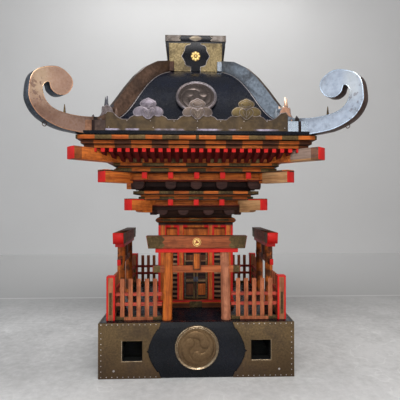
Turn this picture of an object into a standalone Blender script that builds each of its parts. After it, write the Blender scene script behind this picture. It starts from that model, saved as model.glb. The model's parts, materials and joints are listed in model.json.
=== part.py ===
# Portable shrine on a square base, with fence, gateways, hinged doors, stepped tiers and a swept roof.
# Metres, +Z up. The front looks along -Y, and the origin is the middle of the base's underside.

import bpy
import bmesh
from math import atan2, cos, pi, radians, sin, sqrt
from mathutils import Matrix, Vector

# Clearances
GAP = 0.0003
DOOR_GAP = 0.0005
OVERLAP = 0.002
WELD = 0.00002

# Base frame and deck
BASE_SIDE = 0.606
BASE_HEIGHT = 0.173
BASE_WALL = 0.033
DECK_THICKNESS = 0.012
DECK_LEDGE = 0.015
POLE_HOLE = 0.062
POLE_SPACING = 0.402
POLE_HOLE_HEIGHT = 0.086

# Corner plates of the base
PLATE_THICKNESS = 0.003
PLATE_REACH = 0.191
PLATE_WAIST = 0.0455
PLATE_CUSP_HEIGHT = 0.083
PLATE_NOTCH = 0.004
PLATE_STEP_IN = 0.0073
PLATE_NOTCH_SHARE = 0.22
PLATE_CURVE_IN = 0.0114
PLATE_BULGE = 0.0282
PLATE_MARGIN = 0.0006

# Round crests
CREST_DIAMETER = 0.138
CREST_RIM = 0.006
CREST_RIM_HEIGHT = 0.0085
CREST_FIELD_HEIGHT = 0.0045
CREST_RIM_SLOPE = 0.0036
CREST_EDGE_HEIGHT = 0.0051
COMMA_HEIGHT = 0.004
COMMA_REACH = 0.80
COMMA_WIDTH = 0.46
COMMA_SWEEP = 150
COMMA_TURN = 0.5
COMMA_STEPS = 4
CREST_STEPS = 16
PLAIN_CREST_STEPS = 12
BASE_CREST_HEIGHT = 0.095

# Fence
FENCE_INSET = 0.0173
POST_WIDTH = 0.027
POST_HEIGHT = 0.140
PICKET_WIDTH = 0.0135
PICKET_DEPTH = 0.0125
PICKET_PITCH = 0.026
PICKET_COUNT = 5
PICKET_HEIGHT = 0.131
RAIL_HEIGHT = 0.0102
RAIL_LEVELS = (0.0442, 0.076)
FENCE_BOARD_HEIGHT = 0.011
FENCE_COLUMN_GAP = 0.0015

# Gateways
COLUMN_FOOT_DIAMETER = 0.030
COLUMN_HEAD_DIAMETER = 0.028
COLUMN_SPACING = 0.189
COLUMN_LEAN = 0.0055
COLUMN_HEIGHT = 0.215
COLUMN_SIDES = 8
UNDER_LINTEL_LENGTH = 0.263
UNDER_LINTEL_HEIGHT = 0.0132
UNDER_LINTEL_DEPTH = 0.031
LINTEL_TOP_LENGTH = 0.3208
LINTEL_FOOT_LENGTH = 0.3076
LINTEL_HEIGHT = 0.0393
LINTEL_DEPTH = 0.0378
TIE_LENGTH = 0.2792
TIE_HEIGHT = 0.0209
TIE_DEPTH = 0.013
TIE_LEVEL = 0.1505
TABLET_WIDTH = 0.025
TABLET_DEPTH = 0.019
TABLET_DROP = 0.0566
TABLET_FORWARD = 0.002

# Body
BODY_SIDE = 0.267
BODY_SILL_SIDE = 0.275
BODY_SILL_HEIGHT = 0.027
BODY_SILL_WIDTH = 0.030
CORNER_POST_WIDTH = 0.0275
INNER_POST_WIDTH = 0.022
INNER_POST_SPACING = 0.110
INNER_POST_DEPTH = 0.011
POST_SETBACK = 0.002
BODY_TOP = 0.4752
BODY_HEAD_HEIGHT = 0.017
BODY_HEAD_SETBACK = 0.005
BODY_HEAD_DROP = 0.001
BAR_SETBACK = 0.0015
WALL_THICKNESS = 0.0075
LINTEL_BAR_HEIGHT = 0.024
DOOR_HEIGHT = 0.1755
DOOR_THICKNESS = 0.010
DOOR_SETBACK = 0.003
DOOR_PANEL_RECESS = 0.002
DOOR_FRAME_WIDTH = 0.008
DOOR_MEETING_BEVEL = 0.0015

# Cornice, bracket blocks and tiers: each step is a half width and the level of its underside
CORNICE_HALF = 0.1434
CORNICE_HEIGHT = 0.018
CORNICE_ROUNDING = 0.0065
LOWER_BRACKET_STEPS = ((0.130, 0.4940), (0.148, 0.5075), (0.165, 0.5205))
LOWER_TIER_LEVEL = 0.5337
LOWER_BEAM = (0.168, 0.0170)
LOWER_BAND_ONE = (0.196, 0.5560, 0.0115)
LOWER_BAND_TWO = (0.200, 0.5744, 0.0123)
LOWER_BAND_END = 0.014
BAND_NECK = 0.006
BEAM_NECK = 0.004
NOSING_MARGIN = 0.0005
MIDDLE_BRACKET_STEPS = ((0.186, 0.5870), (0.203, 0.6010))
MIDDLE_TIER_LEVEL = 0.6187
MIDDLE_BEAM = (0.235, 0.0233)
MIDDLE_BAND_ONE = (0.262, 0.6454, 0.0135)
MIDDLE_BAND_TWO = (0.268, 0.6635, 0.0113)
EAVE_SUPPORT_LEVEL = 0.6751
EAVE_SUPPORT_HALF = 0.262

# Beams that end in red faces: at the corners (reach along x and y, underside, height, width)
LOWER_CORNER_BEAM = (0.2276, 0.5212, 0.0395, 0.040)
MIDDLE_CORNER_BEAM = (0.2992, 0.6111, 0.0394, 0.041)
UPPER_CORNER_BEAM = (0.3726, 0.6751, 0.0371, 0.040)
BEAM_SEAT = 0.012
BEAM_HAUNCH = 0.008
BEAM_HAUNCH_START = 0.045
LOWER_ARMS = (3, 0.087, 0.0170, 0.0196, 0.5380, 0.210)
MIDDLE_ARMS = (5, 0.084, 0.0165, 0.0200, 0.6244, 0.272)

# Rafters
RAFTER_COUNT = 26
RAFTER_PITCH = 0.02484
RAFTER_WIDTH = 0.0123
RAFTER_DEPTH = 0.0115
RAFTER_SETBACK = 0.0018
RAFTER_END_LEVEL = 0.7006
RAFTER_INNER_LEVEL = 0.6770

# Eave mouldings: half width, underside and height of each step, from the lowest up
EAVE_STEPS = (
    (0.3418, 0.7125, 0.0098),
    (0.3498, 0.7238, 0.0106),
    (0.3612, 0.7364, 0.0119),
    (0.3618, 0.7510, 0.0103),
)
EAVE_GROOVE = 0.006

# Roof: its swept line runs from the eave up to the foot of the top box
ROOF_THICKNESS = 0.014
ROOF_EDGE_HALF = 0.356
ROOF_EDGE_HEIGHT = 0.0320
ROOF_LINE_FOOT = (0.330, 0.7965)
ROOF_LINE_FOOT_PULL = (-0.1164, -0.0091)
ROOF_LINE_HEAD_PULL = (0.1311, -0.0440)
ROOF_LINE_HEAD = (0.095, 1.0310)
ROOF_LINE_STEPS = 9
ROOF_RIM = 0.020

# Hip ridges on the diagonals: distances from the axis and levels of the crest line
RIDGE_WIDTH = 0.022
RIDGE_FOOT = (0.3156, 0.8090)
RIDGE_FOOT_PULL = (-0.046, 0.0015)
RIDGE_HEAD_PULL = (0.1150, -0.0220)
RIDGE_HEAD = (0.1032, 1.0665)
RIDGE_SINK = 0.030
RIDGE_ROOT = 0.165
RIDGE_STEPS = 8
FIN_WIDTH = 0.034
FIN_THICKNESS = 0.004
FIN_TOP = 0.8839
FIN_AT = 0.2830
FIN_SHOULDER = 0.45
FIN_BULGE = 0.22
FIN_NECK = 0.8

# Scroll arms, drawn in the plane of the diagonal: shares of the reach and of the rise
SCROLL_THICKNESS = 0.034
SCROLL_ROOT = 0.4467
SCROLL_REACH = 0.2080
SCROLL_FOOT = 0.7533
SCROLL_RISE = 0.1765
SCROLL_SHAPE = (
    (0.30, 0.000),
    (0.60, 0.035),
    (0.86, 0.170),
    (0.985, 0.370),
    (1.000, 0.560),
    (0.955, 0.790),
    (0.820, 0.930),
    (0.60, 1.000),
    (0.430, 0.905),
    (0.390, 0.760),
    (0.470, 0.600),
    (0.600, 0.550),
    (0.700, 0.610),
    (0.735, 0.715),
    (0.795, 0.670),
    (0.815, 0.570),
    (0.755, 0.400),
    (0.600, 0.300),
    (0.300, 0.275),
    (0.000, 0.315),
)
SPIKE_AT = 0.545
SPIKE_FOOT = 0.044
SPIKE_HEIGHT = 0.034
SPIKE_DIAMETER = 0.006

# Brass bands standing on the eaves, with three flower shapes
BAND_LENGTH = 0.547
BAND_HEIGHT = 0.034
BAND_THICKNESS = 0.003
FLOWER_SPACING = 0.147
FLOWER_RISE = 0.056
FLOWER_LOBE = 0.015
FLOWER_FOOT = 0.039
FLOWER_SPREAD = 0.0225
SIDE_LOBE_SHARE = 0.42
LOBE_STEPS = 2

# Top box and lid
TOP_BOX_FOOT_SIDE = 0.196
TOP_BOX_HEAD_SIDE = 0.2196
TOP_BOX_WALL = 0.010
TOP_BOX_HEIGHT = 0.1055
LID_SIDE = 0.221
LID_HEIGHT = 0.0237

# Values that follow from the sizes above
BASE_HALF = BASE_SIDE / 2
RAFTER_REACH = EAVE_STEPS[0][0] - RAFTER_SETBACK
ROOF_TOP_LEVEL = ROOF_LINE_HEAD[1]
TOP_BOX_FOOT = ROOF_TOP_LEVEL + GAP
TOP_BOX_TOP = TOP_BOX_FOOT + TOP_BOX_HEIGHT
DECK_TOP = BASE_HEIGHT
STAND_LEVEL = DECK_TOP + GAP
FENCE_LINE = BASE_HALF - FENCE_INSET - POST_WIDTH / 2
BODY_HALF = BODY_SIDE / 2
SILL_TOP = STAND_LEVEL + BODY_SILL_HEIGHT
POST_FACE = BODY_HALF - POST_SETBACK
EAVE_TOP = EAVE_STEPS[-1][1] + EAVE_STEPS[-1][2]
ROOF_FOOT = EAVE_TOP + GAP
SIDES = ("front", "right", "back", "left")
CORNERS = ("front_left", "front_right", "back_right", "back_left")

FINISHES = {
    "black_lacquer": ((0.012, 0.013, 0.018), 0.25, 0.0),
    "brass": ((0.30, 0.23, 0.12), 0.38, 1.0),
    "copper": ((0.42, 0.24, 0.15), 0.35, 1.0),
    "vermilion": ((0.62, 0.03, 0.01), 0.5, 0.0),
    "orange_wood": ((0.46, 0.15, 0.04), 0.55, 0.0),
    "dark_wood": ((0.06, 0.025, 0.015), 0.6, 0.0),
}


# Scene, collections and materials
def clear_scene():
    for thing in list(bpy.data.objects):
        bpy.data.objects.remove(thing, do_unlink=True)


def new_collection(name):
    collection = bpy.data.collections.new(name)
    bpy.context.scene.collection.children.link(collection)
    return collection


def finish(name):
    material = bpy.data.materials.get(name)
    if material:
        return material
    colour, roughness, metallic = FINISHES[name]
    material = bpy.data.materials.new(name)
    material.use_nodes = True
    shader = material.node_tree.nodes["Principled BSDF"]
    shader.inputs["Base Color"].default_value = (*colour, 1.0)
    shader.inputs["Roughness"].default_value = roughness
    shader.inputs["Metallic"].default_value = metallic
    return material


clear_scene()
PARTS = new_collection("portable_shrine")
CUTTERS = new_collection("cutters")


# Building blocks
def new_object(name, data, collection=CUTTERS):
    thing = bpy.data.objects.new(name, data)
    collection.objects.link(thing)
    if collection is CUTTERS:
        thing.hide_render = True
        thing.display_type = "WIRE"
    return thing


def bake(thing, tidy=False):
    bpy.context.view_layer.update()
    evaluated = thing.evaluated_get(bpy.context.evaluated_depsgraph_get())
    mesh = bpy.data.meshes.new_from_object(evaluated)
    mesh.transform(thing.matrix_world)
    name = thing.name
    bpy.data.objects.remove(thing, do_unlink=True)
    shape = bmesh.new()
    shape.from_mesh(mesh)
    bmesh.ops.remove_doubles(shape, verts=shape.verts, dist=WELD)
    if tidy:
        flat = radians(0.05)
        bmesh.ops.dissolve_limit(shape, angle_limit=flat, verts=shape.verts, edges=shape.edges)
        bmesh.ops.triangulate(shape, faces=[face for face in shape.faces if len(face.verts) > 4])
    beautify(shape)
    shape.to_mesh(mesh)
    shape.free()
    return new_object(name, mesh)


# Turns thin triangles on flat faces into well shaped ones, so that cuts and joins stay clean
def beautify(shape):
    faces = [face for face in shape.faces if len(face.verts) == 3]
    inner = []
    for edge in shape.edges:
        if len(edge.link_faces) == 2 and all(len(face.verts) == 3 for face in edge.link_faces):
            if edge.calc_face_angle(pi) < 0.001 or min(face.calc_area() for face in edge.link_faces) < 1e-10:
                inner.append(edge)
    bmesh.ops.beautify_fill(shape, faces=faces, edges=inner)


def block(name, low, high):
    shape = bmesh.new()
    size = Vector(high) - Vector(low)
    middle = (Vector(high) + Vector(low)) / 2
    place = Matrix.Translation(middle) @ Matrix.Diagonal((*size, 1.0))
    bmesh.ops.create_cube(shape, size=1.0, matrix=place)
    mesh = bpy.data.meshes.new(name)
    shape.to_mesh(mesh)
    shape.free()
    return new_object(name, mesh)


def cone(name, foot_diameter, head_diameter, height, sides, place):
    shape = bmesh.new()
    bmesh.ops.create_cone(
        shape, cap_ends=True, segments=sides, radius1=foot_diameter / 2, radius2=head_diameter / 2,
        depth=height, matrix=place @ Matrix.Translation((0, 0, height / 2)))
    mesh = bpy.data.meshes.new(name)
    shape.to_mesh(mesh)
    shape.free()
    return new_object(name, mesh)


# A flat outline, with holes after the first loop, made thick evenly on both sides of its plane
def flat_shape(name, loops, thickness, place):
    curve = bpy.data.curves.new(name, "CURVE")
    curve.dimensions = "2D"
    curve.fill_mode = "BOTH"
    curve.extrude = thickness / 2
    for points in loops:
        spline = curve.splines.new("POLY")
        spline.points.add(len(points) - 1)
        for point, (across, up) in zip(spline.points, points):
            point.co = (across, up, 0.0, 1.0)
        spline.use_cyclic_u = True
    thing = new_object(name, curve)
    thing.matrix_world = place
    return bake(thing, tidy=True)


# A profile turned about Z; four steps give a square piece whose faces look along X and Y
def turned(name, profile, steps, closed=False):
    mesh = bpy.data.meshes.new(name)
    square = steps == 4
    stretch = sqrt(2) if square else 1.0
    shape = bmesh.new()
    points = [shape.verts.new((across * stretch, 0.0, up)) for across, up in profile]
    for first, second in zip(points, points[1:]):
        shape.edges.new((first, second))
    if closed:
        shape.edges.new((points[-1], points[0]))
    shape.to_mesh(mesh)
    shape.free()
    thing = new_object(name, mesh)
    if square:
        thing.rotation_euler.z = radians(45)
    screw = thing.modifiers.new("turn", "SCREW")
    screw.steps = steps
    screw.render_steps = steps
    screw.use_merge_vertices = True
    screw.merge_threshold = 0.00005
    screw.use_smooth_shade = False
    return bake(thing)


# EXACT leaves gaps where many edges lie in one line, so those few shapes take MANIFOLD instead
def combine(base, tools, operation, solver):
    for tool in tools:
        boolean = base.modifiers.new(tool.name, "BOOLEAN")
        boolean.object = tool
        boolean.operation = operation
        boolean.solver = solver
    result = bake(base, tidy=True)
    for tool in tools:
        bpy.data.objects.remove(tool, do_unlink=True)
    return result


def join(base, *tools, solver="EXACT"):
    return combine(base, tools, "UNION", solver)


def cut(base, *tools, solver="EXACT"):
    return combine(base, tools, "DIFFERENCE", solver)


# Upright planes: across and up become world X and Z, facing -Y at the given distance
def facing_front(distance):
    return Matrix.Translation((0, -distance, 0)) @ Matrix.Rotation(radians(90), 4, "X")


# The plane of the front left diagonal: across runs outwards from the axis
def along_diagonal():
    return Matrix.Rotation(radians(-135), 4, "Z") @ Matrix.Rotation(radians(90), 4, "X")


def quarter_turn(step):
    return Matrix.Rotation(radians(90 * step), 4, "Z")


def part(thing, name, slot, turn=0, parent=None):
    thing.name = name
    thing.data.materials.clear()
    thing.data.materials.append(finish(slot))
    CUTTERS.objects.unlink(thing)
    PARTS.objects.link(thing)
    thing.hide_render = False
    thing.display_type = "TEXTURED"
    thing.parent = parent
    thing.rotation_euler.z = radians(90 * turn)
    return thing


# The front piece and its three copies, each turned about the axis
def four_sides(thing, name, slot, names=SIDES):
    mesh = thing.data
    first = part(thing, f"{name}_{names[0]}", slot)
    copies = [first]
    for turn in range(1, 4):
        copy = new_object(name, mesh)
        copies.append(part(copy, f"{name}_{names[turn]}", slot, turn))
    return copies


def swept_line(foot, foot_pull, head_pull, head, steps):
    first = Vector(foot)
    last = Vector(head)
    second = first + Vector(foot_pull)
    third = last + Vector(head_pull)
    line = []
    for step in range(steps + 1):
        t = step / steps
        point = (1 - t) ** 3 * first + 3 * t * (1 - t) ** 2 * second
        point += 3 * t * t * (1 - t) * third + t ** 3 * last
        line.append(tuple(point))
    return line


# Base
def make_base():
    inner = BASE_HALF - BASE_WALL
    ledge = inner + DECK_LEDGE
    ledge_level = BASE_HEIGHT - DECK_THICKNESS
    profile = ((BASE_HALF, BASE_HEIGHT), (BASE_HALF, 0), (inner, 0), (inner, ledge_level))
    profile += ((ledge, ledge_level), (ledge, BASE_HEIGHT))
    frame = turned("base_frame", profile, 4, closed=True)
    part(cut(frame, *pole_holes(BASE_HALF + OVERLAP)), "base_frame", "black_lacquer")
    half = ledge - GAP
    deck = block("base_deck", (-half, -half, ledge_level + GAP), (half, half, DECK_TOP))
    part(deck, "base_deck", "black_lacquer")


def pole_holes(reach):
    tools = []
    for side in (-1, 1):
        middle = side * POLE_SPACING / 2
        low = (middle - POLE_HOLE / 2, -reach, POLE_HOLE_HEIGHT - POLE_HOLE / 2)
        high = (middle + POLE_HOLE / 2, reach, POLE_HOLE_HEIGHT + POLE_HOLE / 2)
        tools.append(block("pole_hole", low, high))
    return tools


# Inner edge of a corner plate, from its top end to its foot: two hollow curves that meet in a cusp
def plate_edge():
    top = BASE_HEIGHT - PLATE_MARGIN
    foot = PLATE_MARGIN
    end = BASE_HALF - PLATE_REACH
    cusp = end + PLATE_WAIST
    edge = []
    for level in (top, foot):
        half = []
        notch_level = level + (PLATE_CUSP_HEIGHT - level) * PLATE_NOTCH_SHARE
        half.append((end, level))
        half.append((end + PLATE_STEP_IN, notch_level))
        half.append((end + PLATE_STEP_IN + PLATE_NOTCH, notch_level))
        for share in (0.35, 0.7, 0.93):
            bulge = sin(share * pi / 2)
            across = end + PLATE_CURVE_IN + PLATE_BULGE * bulge
            half.append((across, notch_level + (PLATE_CUSP_HEIGHT - notch_level) * share))
        edge.append(half)
    return edge[0] + [(cusp, PLATE_CUSP_HEIGHT)] + edge[1][::-1]


# The black field between two plates, as one outline that runs past both ends
def plate_window():
    edge = plate_edge()
    spare = PLATE_THICKNESS
    right = [(edge[0][0], edge[0][1] + spare)] + edge + [(edge[-1][0], edge[-1][1] - spare)]
    left = [(-across, up) for across, up in reversed(right)]
    return right + left


# A square tube of plate, opened on all four sides and at the pole holes, leaves the four plates
def make_corner_plates():
    inner = BASE_HALF + GAP
    outer = inner + PLATE_THICKNESS
    top = BASE_HEIGHT - PLATE_MARGIN
    profile = ((outer, top), (outer, PLATE_MARGIN), (inner, PLATE_MARGIN), (inner, top))
    tube = turned("tube", profile, 4, closed=True)
    windows = []
    for turn in (0, 1):
        place = quarter_turn(turn) @ facing_front(0)
        windows.append(flat_shape("window", [plate_window()], 2 * BASE_SIDE, place))
    plates = cut(tube, *windows, *pole_holes(BASE_SIDE))
    for corner, (x, y) in zip(CORNERS, ((-1, -1), (1, -1), (1, 1), (-1, 1))):
        plate = new_object("plate", plates.data.copy())
        shape = bmesh.new()
        shape.from_mesh(plate.data)
        others = [vert for vert in shape.verts if vert.co.x * x < 0 or vert.co.y * y < 0]
        bmesh.ops.delete(shape, geom=others, context="VERTS")
        shape.to_mesh(plate.data)
        shape.free()
        part(plate, f"base_corner_plate_{corner}", "brass")
    bpy.data.objects.remove(plates, do_unlink=True)


# One comma of the three-comma whirl: a round head and a tail that narrows along the rim
def comma(radius, turn):
    outer = radius * COMMA_REACH
    width = radius * COMMA_WIDTH
    sweep = radians(COMMA_SWEEP)
    points = []
    tail_steps = COMMA_STEPS
    for step in range(tail_steps + 1):
        angle = turn + sweep * step / tail_steps
        points.append((outer * cos(angle), outer * sin(angle)))
    for step in range(tail_steps - 1, -1, -1):
        share = step / tail_steps
        inner = outer - width * (1 - share) ** 0.8
        angle = turn + sweep * share
        points.append((inner * cos(angle), inner * sin(angle)))
    centre = outer - width / 2
    for step in (1, 2):
        swing = turn + pi + step * pi / 3
        x = centre * cos(turn) + width / 2 * cos(swing)
        y = centre * sin(turn) + width / 2 * sin(swing)
        points.append((x, y))
    return points


def crest(with_whirl=True):
    radius = CREST_DIAMETER / 2
    field = radius - CREST_RIM - CREST_RIM_SLOPE
    profile = ((0, CREST_FIELD_HEIGHT), (field, CREST_FIELD_HEIGHT))
    profile += ((radius - CREST_RIM, CREST_RIM_HEIGHT), (radius, CREST_EDGE_HEIGHT), (radius, 0), (0, 0))
    disc = turned("crest", profile, CREST_STEPS if with_whirl else PLAIN_CREST_STEPS)
    if not with_whirl:
        return disc
    middle = CREST_FIELD_HEIGHT - OVERLAP + (COMMA_HEIGHT + OVERLAP) / 2
    place = Matrix.Translation((0, 0, middle))
    thickness = COMMA_HEIGHT + OVERLAP
    commas = [comma(field, turn * 2 * pi / 3 + COMMA_TURN) for turn in range(3)]
    tools = [flat_shape("comma", [points], thickness, place) for points in commas]
    return join(disc, *tools)


# The whirl is in the front crest; the three hidden sides have the same crest without it
def place_crests(name, slot, place):
    for turn, side in enumerate(SIDES):
        disc = crest(with_whirl=turn == 0)
        disc.data.transform(place)
        part(disc, f"{name}_{side}", slot, turn)


def make_base_crests():
    place = Matrix.Translation((0, 0, BASE_CREST_HEIGHT)) @ facing_front(BASE_HALF + GAP)
    place_crests("base_crest", "brass", place)


# Fence
def fence_loops(left, right):
    middle = (left + right) / 2
    first = -(PICKET_COUNT - 1) / 2
    centres = [middle + (first + index) * PICKET_PITCH for index in range(PICKET_COUNT)]
    pickets = [(centre - PICKET_WIDTH / 2, centre + PICKET_WIDTH / 2) for centre in centres]
    foot = STAND_LEVEL
    board = foot + FENCE_BOARD_HEIGHT
    rails = [(foot + level - RAIL_HEIGHT / 2, foot + level + RAIL_HEIGHT / 2) for level in RAIL_LEVELS]
    top = foot + PICKET_HEIGHT
    bays = [(board, rails[0][0]), (rails[0][1], rails[1][0])]
    outline = [(left, foot), (right, foot), (right, board)]
    for low, high in bays:
        outline += [(pickets[-1][1], low), (pickets[-1][1], high), (right, high)]
        outline.append((right, high + RAIL_HEIGHT))
    for start, end in reversed(pickets):
        outline += [(end, rails[1][1]), (end, top), (start, top), (start, rails[1][1])]
    outline.append((left, rails[1][1]))
    for low, high in reversed(bays):
        outline += [(left, high), (pickets[0][0], high), (pickets[0][0], low), (left, low)]
    holes = []
    for low, high in bays:
        for (_, start), (end, _) in zip(pickets, pickets[1:]):
            holes.append([(start, low), (end, low), (end, high), (start, high)])
    return [outline] + holes


def make_fence():
    column_side = COLUMN_SPACING / 2 + COLUMN_FOOT_DIAMETER / 2 + FENCE_COLUMN_GAP
    post_side = FENCE_LINE - POST_WIDTH / 2
    place = facing_front(FENCE_LINE)
    right = fence_loops(column_side, post_side - GAP)
    panel = flat_shape("fence_right", right, PICKET_DEPTH, place)
    left = fence_loops(-post_side - OVERLAP, -column_side)
    post_panel = flat_shape("fence_left", left, PICKET_DEPTH, place)
    low = (-post_side - POST_WIDTH, -post_side - POST_WIDTH, STAND_LEVEL)
    high = (-post_side, -post_side, STAND_LEVEL + POST_HEIGHT)
    post_panel = join(post_panel, block("post", low, high), solver="MANIFOLD")
    four_sides(post_panel, "fence_with_post", "orange_wood")
    four_sides(panel, "fence_panel", "orange_wood")


# Gateways
def column(side):
    place = Matrix.Translation((side * COLUMN_SPACING / 2, -FENCE_LINE, STAND_LEVEL))
    lean = Matrix.Identity(4)
    lean[0][2] = -side * COLUMN_LEAN / COLUMN_HEIGHT
    return cone(
        "column", COLUMN_FOOT_DIAMETER, COLUMN_HEAD_DIAMETER, COLUMN_HEIGHT + OVERLAP, COLUMN_SIDES,
        place @ lean)


def cross_block(name, length, level, height, depth, forward=0.0):
    low = (-length / 2, -FENCE_LINE - forward - depth / 2, level)
    high = (length / 2, -FENCE_LINE - forward + depth / 2, level + height)
    return block(name, low, high)


def make_gateways():
    head = STAND_LEVEL + COLUMN_HEIGHT
    under = cross_block("under", UNDER_LINTEL_LENGTH, head, UNDER_LINTEL_HEIGHT, UNDER_LINTEL_DEPTH)
    lintel_foot = head + UNDER_LINTEL_HEIGHT - OVERLAP
    lintel_top = head + UNDER_LINTEL_HEIGHT + LINTEL_HEIGHT
    outline = [
        (-LINTEL_FOOT_LENGTH / 2, lintel_foot), (LINTEL_FOOT_LENGTH / 2, lintel_foot),
        (LINTEL_TOP_LENGTH / 2, lintel_top), (-LINTEL_TOP_LENGTH / 2, lintel_top)]
    lintel = flat_shape("lintel", [outline], LINTEL_DEPTH, facing_front(FENCE_LINE))
    tie = cross_block("tie", TIE_LENGTH, STAND_LEVEL + TIE_LEVEL, TIE_HEIGHT, TIE_DEPTH)
    tablet_level = head - TABLET_DROP
    tablet_height = TABLET_DROP + OVERLAP
    tablet = cross_block("tablet", TABLET_WIDTH, tablet_level, tablet_height, TABLET_DEPTH, TABLET_FORWARD)
    gate = join(lintel, under, column(-1), column(1), tie, tablet)
    four_sides(gate, "gateway", "orange_wood")


# Body
def upright(left, right, distance, depth, low, high):
    return block("upright", (left, -distance, low), (right, -distance + depth, high))


def make_body_frame():
    sill_half = BODY_SILL_SIDE / 2
    inner = sill_half - BODY_SILL_WIDTH
    sill = turned("body_frame", (
        (sill_half, SILL_TOP), (sill_half, STAND_LEVEL), (inner, STAND_LEVEL), (inner, SILL_TOP)),
        4, closed=True)
    head_half = BODY_HALF - BODY_HEAD_SETBACK
    head_inner = head_half - BODY_HEAD_HEIGHT
    head_foot = BODY_TOP - BODY_HEAD_HEIGHT
    head_top = BODY_TOP - BODY_HEAD_DROP
    head = turned("head", (
        (head_half, head_top), (head_half, head_foot), (head_inner, head_foot), (head_inner, head_top)),
        4, closed=True)
    pieces = [head]
    post_inner = BODY_HALF - CORNER_POST_WIDTH
    low = SILL_TOP - OVERLAP
    bar_foot = SILL_TOP + DOOR_HEIGHT + 2 * DOOR_GAP
    inner_post_side = INNER_POST_SPACING / 2 - INNER_POST_WIDTH / 2
    for turn in range(4):
        corner = block("post", (-BODY_HALF, -BODY_HALF, low), (-post_inner, -post_inner, BODY_TOP))
        group = [corner]
        for side in (-1, 1):
            middle = side * INNER_POST_SPACING / 2
            ends = (middle - INNER_POST_WIDTH / 2, middle + INNER_POST_WIDTH / 2)
            group.append(upright(*ends, POST_FACE, INNER_POST_DEPTH, low, BODY_TOP))
        bar = inner_post_side + OVERLAP
        bar_top = bar_foot + LINTEL_BAR_HEIGHT
        bar_depth = INNER_POST_DEPTH - 2 * BAR_SETBACK
        group.append(upright(-bar, bar, POST_FACE - BAR_SETBACK, bar_depth, bar_foot, bar_top))
        for piece in group:
            piece.data.transform(quarter_turn(turn))
        pieces += group
    part(join(sill, *pieces), "body_frame", "vermilion")


def make_walls():
    distance = POST_FACE - INNER_POST_DEPTH - GAP - WALL_THICKNESS / 2
    half = BODY_HALF - CORNER_POST_WIDTH - GAP
    foot = SILL_TOP + GAP
    top = BODY_TOP - BODY_HEAD_HEIGHT - GAP
    side = INNER_POST_SPACING / 2 - INNER_POST_WIDTH / 2 + GAP * 2
    door_top = SILL_TOP + DOOR_HEIGHT + LINTEL_BAR_HEIGHT / 2
    plain = [(-half, foot), (half, foot), (half, top), (-half, top)]
    open_wall = [(-half, foot), (-side, foot), (-side, door_top), (side, door_top)]
    open_wall += [(side, foot), (half, foot), (half, top), (-half, top)]
    for turn, name in enumerate(SIDES):
        outline = open_wall if turn == 0 else plain
        wall = flat_shape("wall", [outline], WALL_THICKNESS, facing_front(distance))
        part(wall, f"body_wall_{name}", "orange_wood", turn)


# Each door's origin is on its hinge line, at the outer front edge
def make_doors():
    opening = INNER_POST_SPACING - INNER_POST_WIDTH
    width = opening / 2 - 1.5 * DOOR_GAP
    front = POST_FACE - DOOR_SETBACK
    foot = SILL_TOP + DOOR_GAP
    for side, name in ((-1, "left"), (1, "right")):
        plan = [(-width, 0), (0, 0), (0, DOOR_THICKNESS), (-width + DOOR_MEETING_BEVEL, DOOR_THICKNESS)]
        leaf = flat_shape("leaf", [plan], DOOR_HEIGHT, Matrix.Translation((0, 0, DOOR_HEIGHT / 2)))
        recess_depth = DOOR_PANEL_RECESS + OVERLAP
        bays = ((DOOR_FRAME_WIDTH, DOOR_HEIGHT / 2 - DOOR_FRAME_WIDTH / 2),
                (DOOR_HEIGHT / 2 + DOOR_FRAME_WIDTH / 2, DOOR_HEIGHT - DOOR_FRAME_WIDTH))
        tools = []
        for low, high in bays:
            near = (-width + DOOR_FRAME_WIDTH, DOOR_PANEL_RECESS - recess_depth, low)
            far = (-DOOR_FRAME_WIDTH, DOOR_PANEL_RECESS, high)
            tools.append(block("recess", near, far))
        leaf = cut(leaf, *tools)
        if side < 0:
            leaf.data.transform(Matrix.Scale(-1, 4, (1, 0, 0)))
            leaf.data.flip_normals()
        hinge = bpy.data.objects.new(f"hinge_{name}", None)
        PARTS.objects.link(hinge)
        hinge.location = (side * (opening / 2 - DOOR_GAP), -front, foot)
        part(leaf, f"door_{name}", "dark_wood", parent=hinge)


# Stepped slabs: each step is (half width, underside, top)
def stepped_slab(name, steps):
    profile = [(0, steps[-1][2])]
    for half, low, high in reversed(steps):
        profile += [(half, high), (half, low)]
    profile.append((0, steps[0][1]))
    return turned(name, profile, 4)


def bracket_slab(name, steps, top):
    levels = [level for _, level in steps] + [top]
    halves = [half for half, _ in steps]
    return stepped_slab(name, list(zip(halves, levels, levels[1:])))


# Beams on the diagonals; a haunch is a deeper stretch of the beam behind its end
def corner_beams(spec, inner, haunch=0.0, haunch_inner=0.0):
    reach, level, height, width = spec
    end = reach * sqrt(2)
    start = inner * sqrt(2)
    outline = [(end, level), (end, level + height), (start, level + height)]
    if haunch:
        low_start = haunch_inner * sqrt(2)
        middle = level + height / 2
        outline += [(start, middle), (low_start, middle), (low_start, level - haunch)]
        shoulder = end - BEAM_HAUNCH_START
        outline.append((shoulder - haunch * 2, level - haunch))
        outline.append((shoulder - haunch * 0.6, level - haunch * 0.7))
        outline.append((shoulder, level))
    else:
        outline.append((start, level))
    beams = []
    for turn in range(4):
        place = quarter_turn(turn) @ along_diagonal()
        beams.append(flat_shape("corner_beam", [outline], width, place))
    return beams


def arm_ends(spec, inner):
    count, pitch, width, height, level, reach = spec
    arms = []
    for turn in range(4):
        for index in range(count):
            middle = (index - (count - 1) / 2) * pitch
            low = (middle - width / 2, -reach, level)
            arm = block("arm", low, (middle + width / 2, -inner, level + height))
            arm.data.transform(quarter_turn(turn))
            arms.append(arm)
    return arms


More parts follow.
